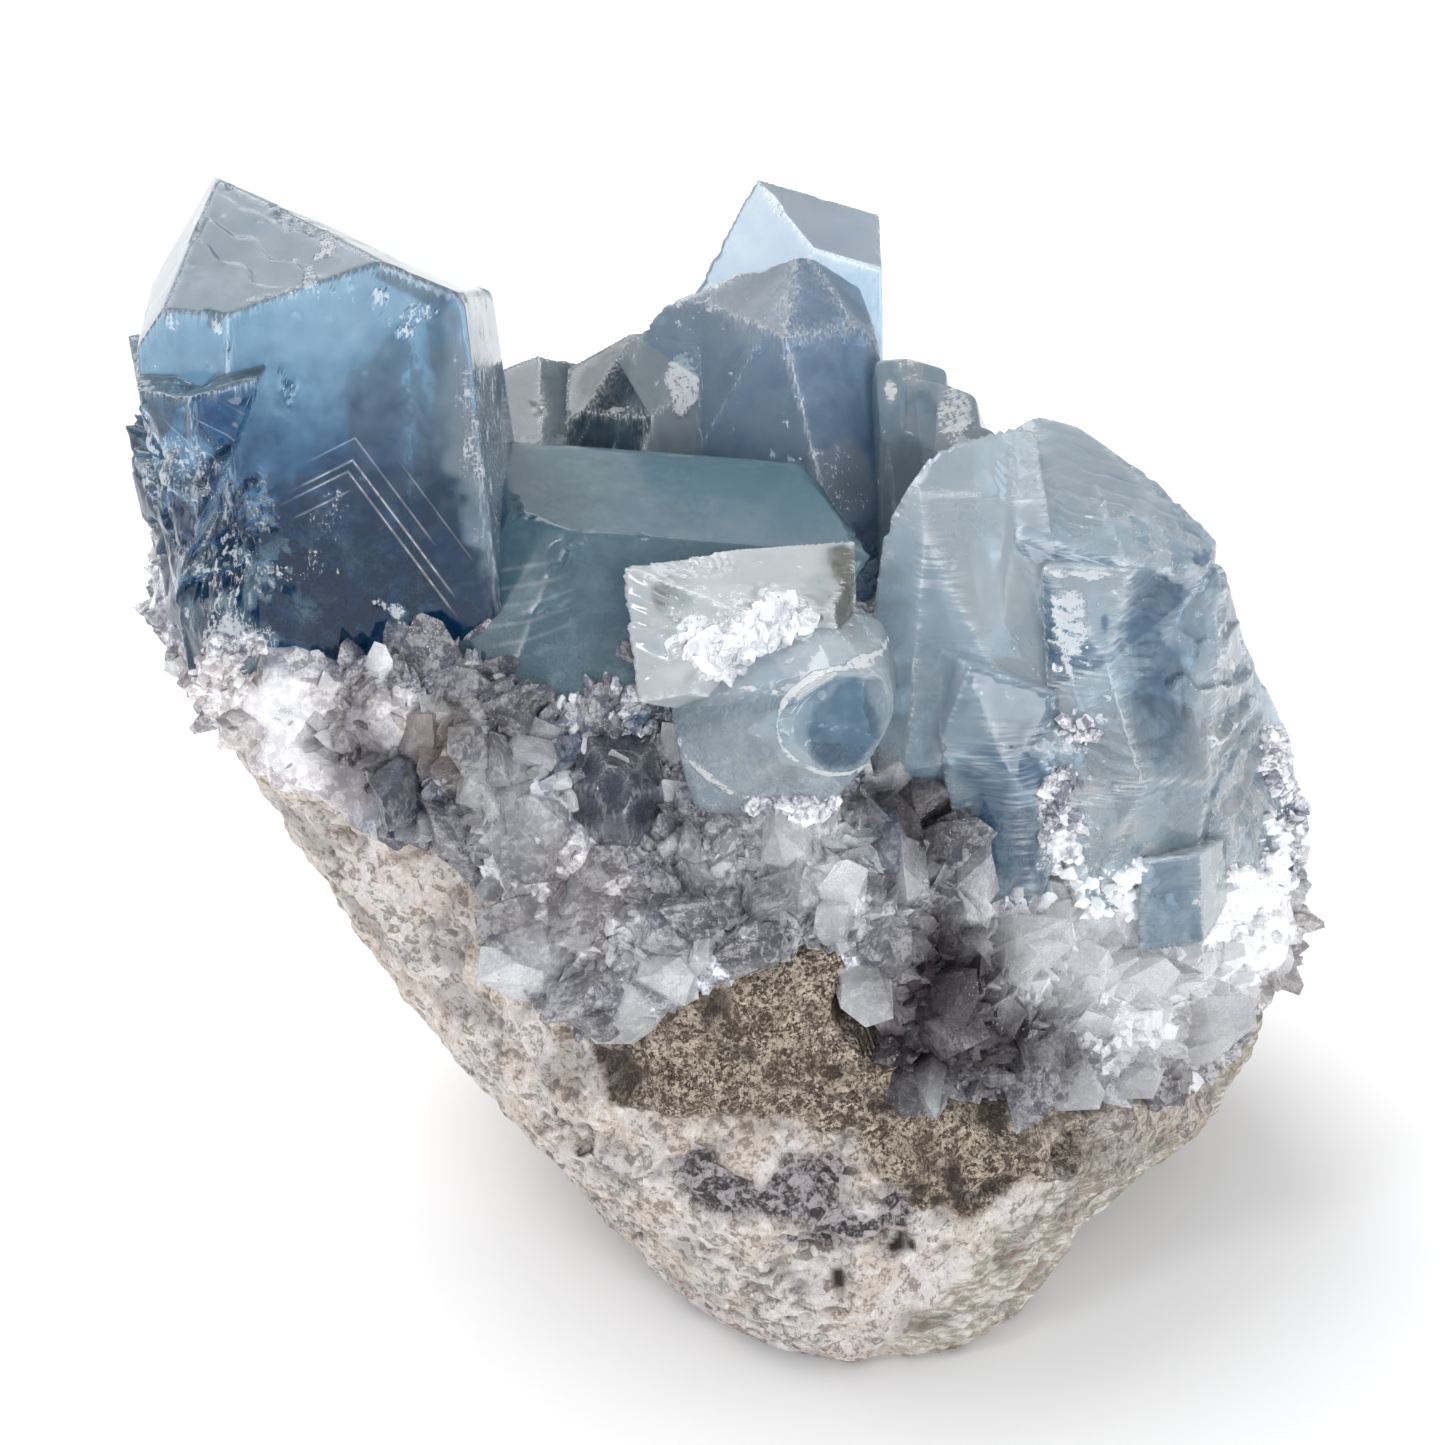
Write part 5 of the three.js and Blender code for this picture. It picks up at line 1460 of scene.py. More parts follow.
def crystal_look(name, deep, middle, pale, clearness, density, absorb=(0.3, 0.65, 0.9),
                 stretch=(6, 6, 0.7), lines=(), milk=(206, 218, 226), painted_glint=0.3, shine=0.5):
    """Celestite: colour by the marks' tone from deep to pale, mottled by noise, milky haze, growth
    lines, frost and bright edges, whose white glows as painted glints; see-through by a plain
    share, with absorption inside."""
    material, tree, shader, output, place = new_material(name)
    tone, frost, edge, haze = read_marks(tree)
    clouded = noise(tree, place, 0.75, 3.0, 0.65)
    lowered = math_node(tree, "SUBTRACT", tone, MOTTLE / 2)
    tone = math_node(tree, "MULTIPLY_ADD", clouded, MOTTLE, lowered)
    ramp = put(tree, "ValToRGB", {0: tone})
    ramp.color_ramp.elements[0].color = rgb(*deep)
    ramp.color_ramp.elements[1].color = rgb(*pale)
    ramp.color_ramp.elements.new(0.45).color = rgb(*middle)
    milky = math_node(tree, "MULTIPLY", haze, ranged(tree, tone, -0.1, 0.8))
    colour = mixed(tree, milky, ramp.outputs["Color"], rgb(*milk))
    inputs = {
        "Place": place, "Stretch": stretch, "Scale": FROST_SCALE, "Frost": frost, "Edge": edge,
    }
    white, height = use_group(tree, FROST, inputs).outputs
    waver = ranged(tree, clouded, 0.35, 0.6, 0.45, 1.0)
    for *line, strength in lines:
        inputs = {"Place": place, **dict(zip(LINE_INPUTS, line)), "Waver": waver}
        mask = use_group(tree, GROWTH_LINES, inputs).outputs[0]
        white = math_node(tree, "MAXIMUM", white, math_node(tree, "MULTIPLY", mask, strength))
    white = math_node(tree, "MINIMUM", white, MOST_FROST)
    frosty_rough = math_node(tree, "MULTIPLY", white, 0.4)
    rough = math_node(tree, "ADD", frosty_rough, math_node(tree, "MULTIPLY", haze, 0.12))
    feed(tree, shader, {
        "Base Color": mixed(tree, white, colour, FROST_COLOUR),
        "Roughness": math_node(tree, "ADD", rough, CLEAN_ROUGHNESS),
        "Normal": bumped(tree, height, 0.5, 0.0005),
        # Painted glints: the white of frost, growth lines and edges glows.
        "Emission Color": mixed(tree, white, NO_LIGHT, FULL_LIGHT),
        "Emission Strength": painted_glint,
        "IOR": CELESTITE_IOR,
        "Specular IOR Level": shine,
        "Transmission Weight": clearness,
    })
    inside = put(tree, "VolumeAbsorption", {"Color": absorb + (1.0,), "Density": density})
    tree.links.new(inside.outputs["Volume"], output.inputs["Volume"])
    return material


def stone_look():
    """Stone: a whitish granular rind, a brown granular face, a pale layered edge, a lavender
    glassy pocket, and painted shade in pits, cracks and hollows, each by its share in the marks."""
    material, tree, shader, _, place = new_material("stone_rind_and_brown_face")
    brown, layered, glassy, shade = read_marks(tree)
    coarse = use_group(tree, GRAIN, {"Place": place, "Scale": 1.6})
    sandy = use_group(tree, GRAIN, {"Place": place, "Scale": 5.6})
    grit, sand_grit = coarse.outputs["Tone"], sandy.outputs["Tone"]
    broad = noise(tree, place, 0.3, 2.0)
    rind = tinted(tree, rgb(224, 211, 200), rgb(230, 224, 222), broad, 0.38, 0.62)
    rind = tinted(tree, rind, rgb(134, 118, 107), grit, 0.5, 0.28, 0.75)
    rind = tinted(tree, rind, rgb(246, 240, 236), grit, 0.56, 0.74)
    blotches = noise(tree, place, 0.55, 3.0, 0.7)
    sand = tinted(tree, rgb(58, 46, 37), rgb(222, 206, 186), sand_grit, 0.36, 0.66)
    sand = tinted(tree, sand, rgb(104, 88, 74), blotches, 0.4, 0.62, 0.6)
    sand = tinted(tree, sand, rgb(66, 52, 42), grit, 0.5, 0.32, 0.75)
    sand = tinted(tree, sand, rgb(212, 196, 178), grit, 0.56, 0.72, 0.6)
    slanted = vector_node(tree, "MULTIPLY", place, (0.5, 0.35, 2.8))
    streaks = noise(tree, slanted, 0.9, 3.0, 0.7, 0.3)
    layers = tinted(tree, rgb(186, 174, 160), rgb(244, 239, 232), streaks, 0.4, 0.6)
    layers = tinted(tree, layers, rgb(124, 110, 96), grit, 0.5, 0.3, 0.4)
    pocket = tinted(tree, rgb(60, 54, 56), rgb(186, 179, 182), grit, 0.3, 0.7)
    colour = mixed(tree, layered, rind, layers)
    colour = mixed(tree, brown, colour, sand)
    colour = mixed(tree, glassy, colour, pocket)
    fine_height = math_node(tree, "MULTIPLY", sandy.outputs["Height"], 0.7)
    height = math_node(tree, "ADD", coarse.outputs["Height"], fine_height)
    # The shade mark mixes in the colour of painted shade.
    feed(tree, shader, {
        "Base Color": mixed(tree, shade, colour, rgb(52, 44, 41)),
        "Roughness": ranged(tree, glassy, 0.2, 0.8, 0.8, 0.15),
        "Normal": bumped(tree, height, 0.8, 0.0004),
    })
    return material


DRUSE_GRAIN = 1.6
DRUSE_IOR = 1.55


def druse_look(name, clearness, gloss, painted_glow):
    """Druse: grey lavender turned beige, smoky, white or blue by its share in the marks, with
    frosted grain and bright flecks. The smoky share also paints shade, and the white share glows
    a little as painted light."""
    material, tree, shader, _, place = new_material(name)
    beige, smoky, white, blue = read_marks(tree)
    grain = use_group(tree, GRAIN, {"Place": place, "Scale": DRUSE_GRAIN})
    tone = grain.outputs["Tone"]
    colour = tinted(tree, rgb(132, 133, 146), rgb(208, 207, 213), tone, 0.35, 0.62)
    colour = tinted(tree, colour, rgb(250, 250, 252), tone, 0.6, 0.72, 0.8)
    colour = mixed(tree, blue, colour, rgb(60, 96, 128))
    colour = mixed(tree, beige, colour, rgb(214, 200, 192))
    # Smoky colour, and painted shade where the smoky zone stands for shade.
    colour = mixed(tree, smoky, colour, rgb(74, 66, 70))
    feed(tree, shader, {
        "Base Color": mixed(tree, white, colour, rgb(246, 248, 251)),
        # Painted light: the white share glows.
        "Emission Color": mixed(tree, white, NO_LIGHT, FULL_LIGHT),
        "Emission Strength": painted_glow,
        "Roughness": ranged(tree, tone, 0.35, 0.7, gloss, gloss + 0.3),
        "Normal": bumped(tree, grain.outputs["Height"], 0.35, 0.0002),
        "IOR": DRUSE_IOR,
        "Transmission Weight": clearness,
    })
    return material


# Studio, in metres

FLOOR_HALF = 3
# Soft lights: name, place, what they face, size and power in watts.
LIGHTS = [
    ("window_light", (-0.35, 0.45, 0.75), (0, 0, 0.03), 0.9, 8.0),
    ("front_fill", (0.35, -0.9, 0.3), (0, 0, 0.02), 0.6, 6.0),
    ("sparkle_light", (-0.7, -0.5, 0.6), (0, 0, 0.04), 0.16, 1.6),
]
# The camera: lens and sensor width, then its distance and target in drawing millimetres.
LENS, SENSOR = 100.0, 36.0
CAMERA_DISTANCE, CAMERA_TARGET = 250.8, [0, 0, 30.3]
CAMERA_RISE = math.radians(30.0)
CYCLES_SETTINGS = {
    "use_denoising": True, "adaptive_threshold": 0.1, "max_bounces": 7, "diffuse_bounces": 3,
    "glossy_bounces": 3, "transmission_bounces": 6, "caustics_reflective": False,
}


def build_floor():
    """A pale paper floor."""
    mesh = bpy.data.meshes.new("floor")
    corners = [(-1, -1), (1, -1), (1, 1), (-1, 1)]
    mesh.from_pydata([(FLOOR_HALF * x, FLOOR_HALF * y, 0) for x, y in corners], [], [(0, 1, 2, 3)])
    floor = bpy.data.objects.new("floor", mesh)
    bpy.context.scene.collection.objects.link(floor)
    material, tree, shader, _, place = new_material("floor_paper")
    mottled = noise(tree, place, 0.01)
    paper = tinted(tree, (0.9, 0.9, 0.9, 1), (0.93, 0.93, 0.93, 1), mottled, 0.3, 0.7)
    feed(tree, shader, {"Base Color": paper, "Roughness": 0.9, "Specular IOR Level": 0.1})
    wear(floor, material)


def build_surround():
    """Pale light from all round, darker behind the camera."""
    world = bpy.data.worlds.new("soft_room")
    bpy.context.scene.world = world
    world.use_nodes = True
    tree = world.node_tree
    parts = put(tree, "SeparateXYZ", {0: put(tree, "TexCoord").outputs["Generated"]})
    dim, full = (0.5, 0.52, 0.55, 1), (1.0, 1.0, 1.0, 1)
    colour = tinted(tree, dim, full, parts.outputs["Y"], -0.9, 0.6)
    feed(tree, tree.nodes["Background"], {"Color": colour, "Strength": 0.85})


def build_lights():
    """The soft lights, each turned so that it faces its aim."""
    for name, place, aim, size, power in LIGHTS:
        light = bpy.data.lights.new(name, "AREA")
        light.size = size
        light.energy = power
        lamp = bpy.data.objects.new(name, light)
        lamp.location = place
        x, y, z = np.array(aim) - np.array(place)
        lamp.rotation_euler = (
            math.atan2(math.hypot(x, y), -z), 0, math.atan2(y, x) - math.pi / 2,
        )
        bpy.context.scene.collection.objects.link(lamp)


def build_camera():
    """The camera at the photograph's place."""
    data = bpy.data.cameras.new("camera")
    data.lens = LENS
    data.sensor_width = SENSOR
    data.clip_start = 0.01
    camera = bpy.data.objects.new("camera", data)
    away = np.array([0, -math.cos(CAMERA_RISE), math.sin(CAMERA_RISE)]) * CAMERA_DISTANCE
    camera.location = (np.array(CAMERA_TARGET) + away + DRAWING_TO_FRAME) * MM
    camera.rotation_euler = (math.pi / 2 - CAMERA_RISE, 0, 0)
    bpy.context.scene.collection.objects.link(camera)
    bpy.context.scene.camera = camera


build_floor()
build_surround()
build_lights()
build_camera()
bpy.context.scene.view_settings.view_transform = "Standard"
for setting, value in CYCLES_SETTINGS.items():
    setattr(bpy.context.scene.cycles, setting, value)

# Putting the cluster together

stone = build_stone()
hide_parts("rock_matrix")
wear(stone, stone_look())

druse_skin_look = druse_look("druse_skin", 0.0, 0.16, 0.0)
druse_point_look = druse_look("druse_points", 0.3, 0.1, 0.04)
druse_glass_look = druse_look("druse_glassy_points", 0.6, 0.05, 0.06)
white_frost_look = druse_look("white_frost", 0.0, 0.25, 0.05)
crust = build_crust()
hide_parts("druse_crust")
wear(crust, druse_skin_look)

# Growth lines: apex, the ways of the two legs, spacing, width, middle, reach and strength. At the
# spacing LONE only one line shows.
LINE_INPUTS = ["Apex", "Left Leg", "Right Leg", "Spacing", "Width", "Middle", "Reach"]
LEFT_LEG, RIGHT_LEG = (-0.454, 0, 0.891), (0.848, 0, 0.53)
RISING, FALLING = (-0.3, 0, 0.954), (0.6, 0, 0.8)
LONE = 90
BLUE_LINES = [
    ((-21.1, -9.3, 54.6), LEFT_LEG, RIGHT_LEG, LONE, 0.1, (-19.5, -9.3, 51.5), 5.0, 0.4),
    ((-21.3, -9.3, 53.2), LEFT_LEG, RIGHT_LEG, LONE, 0.12, (-18.9, -9.3, 49.6), 6.6, 0.7),
    ((-21.6, -9.4, 52.5), LEFT_LEG, RIGHT_LEG, LONE, 0.12, (-19.2, -9.4, 48.6), 7.0, 0.6),
    ((-21.5, -9.4, 51.3), LEFT_LEG, LEFT_LEG, LONE, 0.12, (-23.2, -10.5, 50.6), 2.2, 0.6),
    ((-18.6, -9.2, 53.0), RIGHT_LEG, RIGHT_LEG, LONE, 0.09, (-16.8, -9.2, 49.6), 4.0, 0.3),
    ((-30.0, -11.0, 57.0), FALLING, FALLING, 1.6, 0.09, (-29.3, -12, 55), 3.4, 0.3),
]
TEAL_LINES = [((-9.0, -9.0, 45.5), RISING, RISING, 0.8, 0.16, (-11.6, -9.5, 43.8), 3.4, 0.16)]

# Looks: the deep, middle and pale colour, the clear share and the density of the absorption.
blue = crystal_look(
    "blue_celestite", (0, 66, 108), (124, 164, 186), (204, 224, 235), 0.78, 52.0,
    absorb=(0.2, 0.62, 0.85), milk=(186, 206, 217), shine=0.25, lines=BLUE_LINES,
)
teal = crystal_look(
    "teal_grey_celestite", (120, 156, 172), (168, 192, 203), (216, 230, 236), 0.67, 13.0,
    absorb=(0.4, 0.68, 0.78), stretch=(0.9, 5, 5), milk=(170, 192, 203), shine=0.4,
    lines=TEAL_LINES,
)
rear_blue = crystal_look(
    "rear_blue_celestite", (96, 136, 180), (188, 214, 236), (238, 246, 251), 0.73, 20.0,
    absorb=(0.35, 0.6, 0.85),
)
green = crystal_look(
    "green_grey_celestite", (52, 84, 100), (176, 198, 208), (240, 246, 248), 0.8, 18.0,
    absorb=(0.45, 0.65, 0.7),
)
pale = crystal_look(
    "pale_celestite", (84, 124, 156), (192, 216, 231), (240, 248, 252), 0.72, 12.0,
    absorb=(0.45, 0.72, 0.85), stretch=(0.45, 0.45, 5), milk=(214, 228, 237),
)
clear = crystal_look(
    "clear_celestite", (120, 124, 112), (224, 233, 238), (251, 253, 254), 0.66, 5.0,
    stretch=(1.6, 4, 3), milk=(242, 246, 248), painted_glint=0.4,
)
smoky = crystal_look(
    "smoky_celestite", (44, 48, 62), (66, 70, 86), (140, 142, 158), 0.6, 40.0,
)

# Details of the great crystals: a kind of DETAIL_KINDS with its values, in the order of drawing.
DETAILS = {
    "left_tall": [
        ("broken", [-33.4, -8.5, 52.5], [2.4, 5, 5.0], 1.0, 1.3, 0.85),
        ("broken", [-29.0, -12, 44.5], [5.5, 5, 6.5], 1.1, 1.5, 0.7),
        ("touch", [-33.5, -8.5, 52.5], [2.0, 4, 4.0], 0.35, 0.3),
        ("broken", [-27.0, -12.2, 50.0], [2.0, 3, 5], 0.8, 0.9, 0.55),
        ("broken", [-25.0, -11, 57.5], [1.0, 2, 3.0], 0.4, 0.7, 0.9),
        ("streak", [-33.8, -7.5, 58.0], [-26.6, -11.4, 59.6], 0.8, 0.3, 0.7),
        ("streak", [-25.3, -10.5, 59.4], [-26.1, -11.2, 56.5], 0.4, 0.2, 1.0),
        ("streak", [-26.1, -11.2, 56.5], [-29.0, -12.3, 52.1], 0.5, 0.2, 1.0),
        ("streak", [-26.4, -11.6, 54.6], [-25.7, -11.8, 50.5], 0.45, 0.1, 0.9),
        ("streak", [-29.0, -12.3, 52.1], [-30.6, -12.6, 47.5], 0.4, 0.1, 0.8),
        ("streak", [-20.2, -9.5, 44.0], [-18.9, -9.5, 43.0], 0.8, 0.5, 1.0),
        ("streak", [-18.9, -9.5, 43.0], [-18.6, -9.6, 40.6], 0.8, 0.5, 1.0),
        ("streak", [-14.9, -8.9, 62.5], [-14.2, -9.0, 48], 0.9, 0.45, 0.25),
        ("streak", [-28.0, -8.8, 63.0], [-22.6, -9.3, 64.0], 0.45, 0.2, 0.6),
        ("streak", [-22.6, -9.2, 64.0], [-19.0, -9.0, 61.8], 0.45, 0.1, 0.5),
        ("touch", [-22.3, -6.1, 65.2], [0.7, 2, 0.6], 0.1, 0.75),
        ("touch", [-23.3, -8.5, 64.2], [0.5, 2, 0.5], 0.1, 0.8),
        ("touch", [-19.3, -8.9, 63.3], [0.7, 2, 0.6], 0.1, 1.0),
        ("touch", [-17.1, -8.8, 62.2], [1.2, 2, 0.6], 0.1, 0.9),
        ("touch", [-18.0, -8.9, 61.0], [0.8, 2, 0.5], 0.1, 0.9),
        ("touch", [-28.6, -9.2, 61.5], [0.7, 2, 0.9], 0.1, 0.9),
        ("touch", [-31.4, -7.7, 61.2], [0.6, 2, 0.7], 0.1, 0.8),
        ("touch", [-13.4, -5.0, 54.0], [2.6, 8, 11], 1.0, 0.5),
        ("ridges", [-24, -4, 65.0], [9, 9, 3], 0.22, 1.7, (0.7, 0.6, 0.3), 0.25),
        ("touch", [-21.2, -9.3, 42.4], [2.2, 2.5, 3.2], -0.3, 0),
        ("streak", [-22.6, -9.6, 50.8], [-23.8, -10.2, 46.4], 1.3, 0.05, 0.5),
        ("touch", [-28.0, -13.2, 41.5], [4.5, 4, 3.0], 0.5, 0.7),
        ("touch", [-30.5, -12.5, 38.8], [5.5, 5, 3.4], 0.7, 0.2),
        ("hazy", [-30.5, -12.5, 39.5], [6, 6, 4.4], 0.9),
        ("hazy", [-31.6, -11.0, 52.5], [3.6, 4, 5.0], 0.6),
        ("hazy", [-28.5, -13.0, 46.5], [3.0, 4, 3.5], 0.5),
        ("touch", [-31.0, -11.2, 53.5], [2.6, 4, 2.6], 0.3, 0.6),
        ("touch", [-28.5, -13.0, 46.5], [3.0, 4, 3.5], 0.2, 0.4),
        ("hazy", [-24, -5, 63.5], [12, 9, 4.6], 0.45),
        ("hazy", [-13.6, -6.5, 54], [3.0, 7, 11], 1.0),
        ("hazy", [-23, -9, 58.5], [9, 3, 4.0], 0.3),
    ],
    "middle_wide": [
        ("streak", [-12.8, -6.5, 46.8], [-12.0, -8.3, 44.6], 0.7, 0.3, 0.4),
        ("streak", [-14.0, -8.2, 44.4], [-7.5, -8.8, 45.4], 0.7, 0.15, 0.15),
        ("streak", [-10.0, 2.5, 47.0], [4.0, 1.0, 47.2], 0.8, -0.35, 0.0),
        ("streak", [-8.0, -2.5, 46.6], [0.0, -3.5, 46.6], 0.7, 0.35, 0.25),
        ("hazy", [2.0, -2.0, 46.5], [4, 4, 2], 0.5),
        ("touch", [5.5, 0.5, 46], [1.6, 6, 1.5], -0.4, 0),
        ("touch", [-3, 0, 47], [8, 4, 1.5], -0.15, 0.1),
    ],
    "front_clear": [
        ("broken", [1.5, -16, 45.2], [5.8, 4, 3.2], 1.2, 2.0, 1.0),
        ("ridges", [-4.2, -13.4, 45.2], [2.4, 4, 4.0], 0.3, 0.75, (0.3, 0.2, 0.93), 0.8),
        ("touch", [-3.0, -14.2, 46.6], [1.5, 3, 1.3], -0.55, 0),
        ("touch", [3.8, -14.4, 43.6], [2.6, 3, 1.0], -0.6, 0),
        ("touch", [5.2, -13.6, 46.4], [1.5, 3, 1.8], -0.5, 0),
        ("broken", [-1.5, -11, 48.4], [3.6, 3, 1.8], 0.5, 0.7, 0.9),
        ("touch", [1.5, -15.5, 45.4], [5.2, 3.5, 2.4], 0.2, 0.25),
        ("touch", [0.6, -16.4, 45.0], [3.4, 2.5, 1.5], 0.4, 0.3),
        ("streak", [3.2, -14.6, 47.0], [4.8, -15.0, 45.4], 0.3, -0.9, -1),
        ("streak", [0.4, -16.2, 46.0], [2.2, -16.4, 45.2], 0.22, -0.8, -1),
        ("streak", [-1.0, -16.2, 44.9], [1.2, -16.4, 44.4], 0.3, -0.7, -1),
        ("streak", [1.6, -16.2, 44.6], [3.4, -16.2, 44.9], 0.26, -0.6, -1),
        ("streak", [-2.6, -15.8, 45.3], [-1.8, -15.9, 44.0], 0.24, -0.6, -1),
        ("streak", [4.6, -15.6, 44.6], [5.6, -14.9, 45.8], 0.28, -0.6, -1),
        ("streak", [-0.6, -16.0, 46.4], [0.8, -16.0, 46.6], 0.22, -0.6, -1),
        ("touch", [7.4, -10, 44.5], [2.2, 5, 5], -0.9, 0),
    ],
    "front_rounded": [
        ("touch", [6.8, -21.2, 42.4], [2.9, 2.6, 2.9], -0.55, 0),
        ("rim", [6.8, -21.0, 42.4], [-0.39, -0.88, 0.27], 3.1, 0.24, 1.1),
        ("streak", [5.0, -22.2, 41.6], [6.1, -21.9, 40.5], 0.22, 0.4, 1.0),
        ("streak", [6.6, -21.8, 41.6], [7.0, -21.6, 40.8], 0.22, 0.4, 1.0),
        ("streak", [-3.0, -16.8, 41.4], [-2.8, -18.6, 39.0], 0.5, 0.4, 1.5),
        ("streak", [-2.8, -18.6, 39.0], [0.6, -20.9, 37.4], 0.45, 0.4, 1.4),
        ("streak", [0.6, -20.9, 37.4], [5.5, -20.6, 36.0], 0.4, 0.4, 1.0),
        ("streak", [-2.6, -14.2, 42.0], [4.2, -21.6, 44.4], 0.3, 0.2, 0.8),
        ("touch", [0.2, -20.8, 39.8], [1.4, 1.6, 1.2], 0.1, 0.1),
    ],
    "right_green": [
        ("touch", [11.2, -4.8, 47.8], [1.2, 2, 2], 0.2, 0.4),
        ("touch", [15.5, -8.5, 43.0], [3.0, 4, 3.5], 0.1, 0.15),
    ],
    "right_slab": [
        ("ridges", [24, -2, 45], [9, 8, 5], 0.3, 0.75, (0.35, 0.3, 0.9), 0.45),
        ("broken", [27, -3, 43.5], [4, 4, 3], 0.5, 1.2, 0.6),
        ("streak", [16.8, -4.0, 47.6], [19.2, -4.3, 47.0], 0.4, 0.3, 1.0),
        ("touch", [15.5, -6.5, 45.2], [2.4, 3, 1.6], 0.1, 0.6),
    ],
    "right_shell": [
        ("ridges", [20, -11, 43.5], [1.9, 5, 4.0], 0.35, 0.62, (0.15, 0.25, 0.95), 1.3),
        ("ridges", [25.0, -10, 42.6], [2.0, 5, 3.4], 0.3, 0.55, (0.2, 0.25, 0.95), 1.1),
        ("ridges", [24, -13.5, 36], [3, 6, 3], 0.2, 0.9, (0.3, 0.1, 0.95), 0.4),
        ("ridges", [30, -7, 37.5], [4.5, 7, 6], 1.3, 1.5, (0.62, -0.1, 0.78), 0.9),
        ("ridges", [32, -6, 31], [5, 7, 6], 1.0, 1.3, (0.5, -0.3, 0.8), 0.8),
        ("streak", [19.0, -8.5, 45.5], [25.2, -7.0, 44.5], 0.5, 0.3, 1.3),
        ("touch", [20.2, -11.0, 43.6], [1.5, 4, 3.2], 0.4, 0.9),
        ("streak", [19.2, -9.3, 44.8], [20.4, -13.2, 40.6], 0.35, 0.2, 1.2),
        ("streak", [22.6, -9.4, 44.6], [22.0, -13.0, 41.0], 0.3, -0.7, 0.0),
        ("broken", [33, -5, 27], [5, 6, 7], 0.9, 1.7, 0.7),
        ("broken", [24, -15, 29.5], [4, 4, 4], 0.6, 1.3, 0.6),
        ("touch", [26.0, -12.0, 39.0], [3.4, 6, 6.0], -0.3, -0.4),
        ("hazy", [29.5, -8, 37.0], [4.0, 6, 7], 0.45),
        ("touch", [30.5, -8, 37.5], [3.4, 6, 7], 0.3, 0.35),
        ("touch", [18.4, -9.5, 42.0], [1.1, 4, 3.6], -0.4, -0.3),
        ("touch", [21, -15.2, 31], [2.2, 3, 5], 0.3, 0.5),
        ("touch", [35.6, -1.0, 23.0], [2.2, 4, 3.4], -0.5, -0.4),
    ],
    "right_foot": [
        ("touch", [16.5, -16, 33], [3, 4, 6], -0.35, -0.2),
        ("streak", [19.4, -14.8, 38], [19.2, -15.8, 30], 0.8, 0.3, 0.8),
    ],
    "rear_front_twin": [
        ("touch", [1, 12.4, 52.8], [5, 3, 2.2], 0.15, 0.25),
        # Painted light: tone, frost and haze raised where the crystals shade this place.
        ("touch", [7.4, 9.6, 42.4], [2.4, 3, 3.8], 1.0, 0.4),
        ("hazy", [7.4, 9.6, 42.4], [2.6, 4, 4.2], 0.9),
        ("touch", [-1.8, 12.4, 56.0], [2.8, 4, 2.0], -0.9, -0.5),
        ("touch", [5.8, 9.8, 44.6], [0.5, 2, 0.5], 0.5, 1.2),
    ],
    "left_rear_small": [
        ("touch", [-2.4, 11, 48.4], [1.6, 3, 2.6], 0.9, 1.2),
        ("hazy", [-2.4, 11, 48.4], [1.6, 3, 2.6], 1.0),
        ("touch", [-7.4, 11, 49.0], [2.2, 3, 2.6], -0.35, -0.3),
    ],
    "rear_bunch_a": [
        ("touch", [10.4, 9.5, 48.6], [0.8, 2, 1.2], 0.3, 1.0),
        ("touch", [12.4, 9.5, 46.5], [1.6, 2, 2.4], -0.3, 0.0),
        ("touch", [11.6, 9.8, 50.2], [1.6, 3, 1.6], 0.4, 0.6),
    ],
    "rear_bunch_b": [
        ("touch", [14.6, 9.5, 47.4], [1.8, 3, 2.2], 0.4, 0.8),
    ],
    "rear_bunch_c": [
        ("touch", [15.4, 9, 44.6], [1.4, 2, 1.6], 0.3, 0.7),
    ],
}

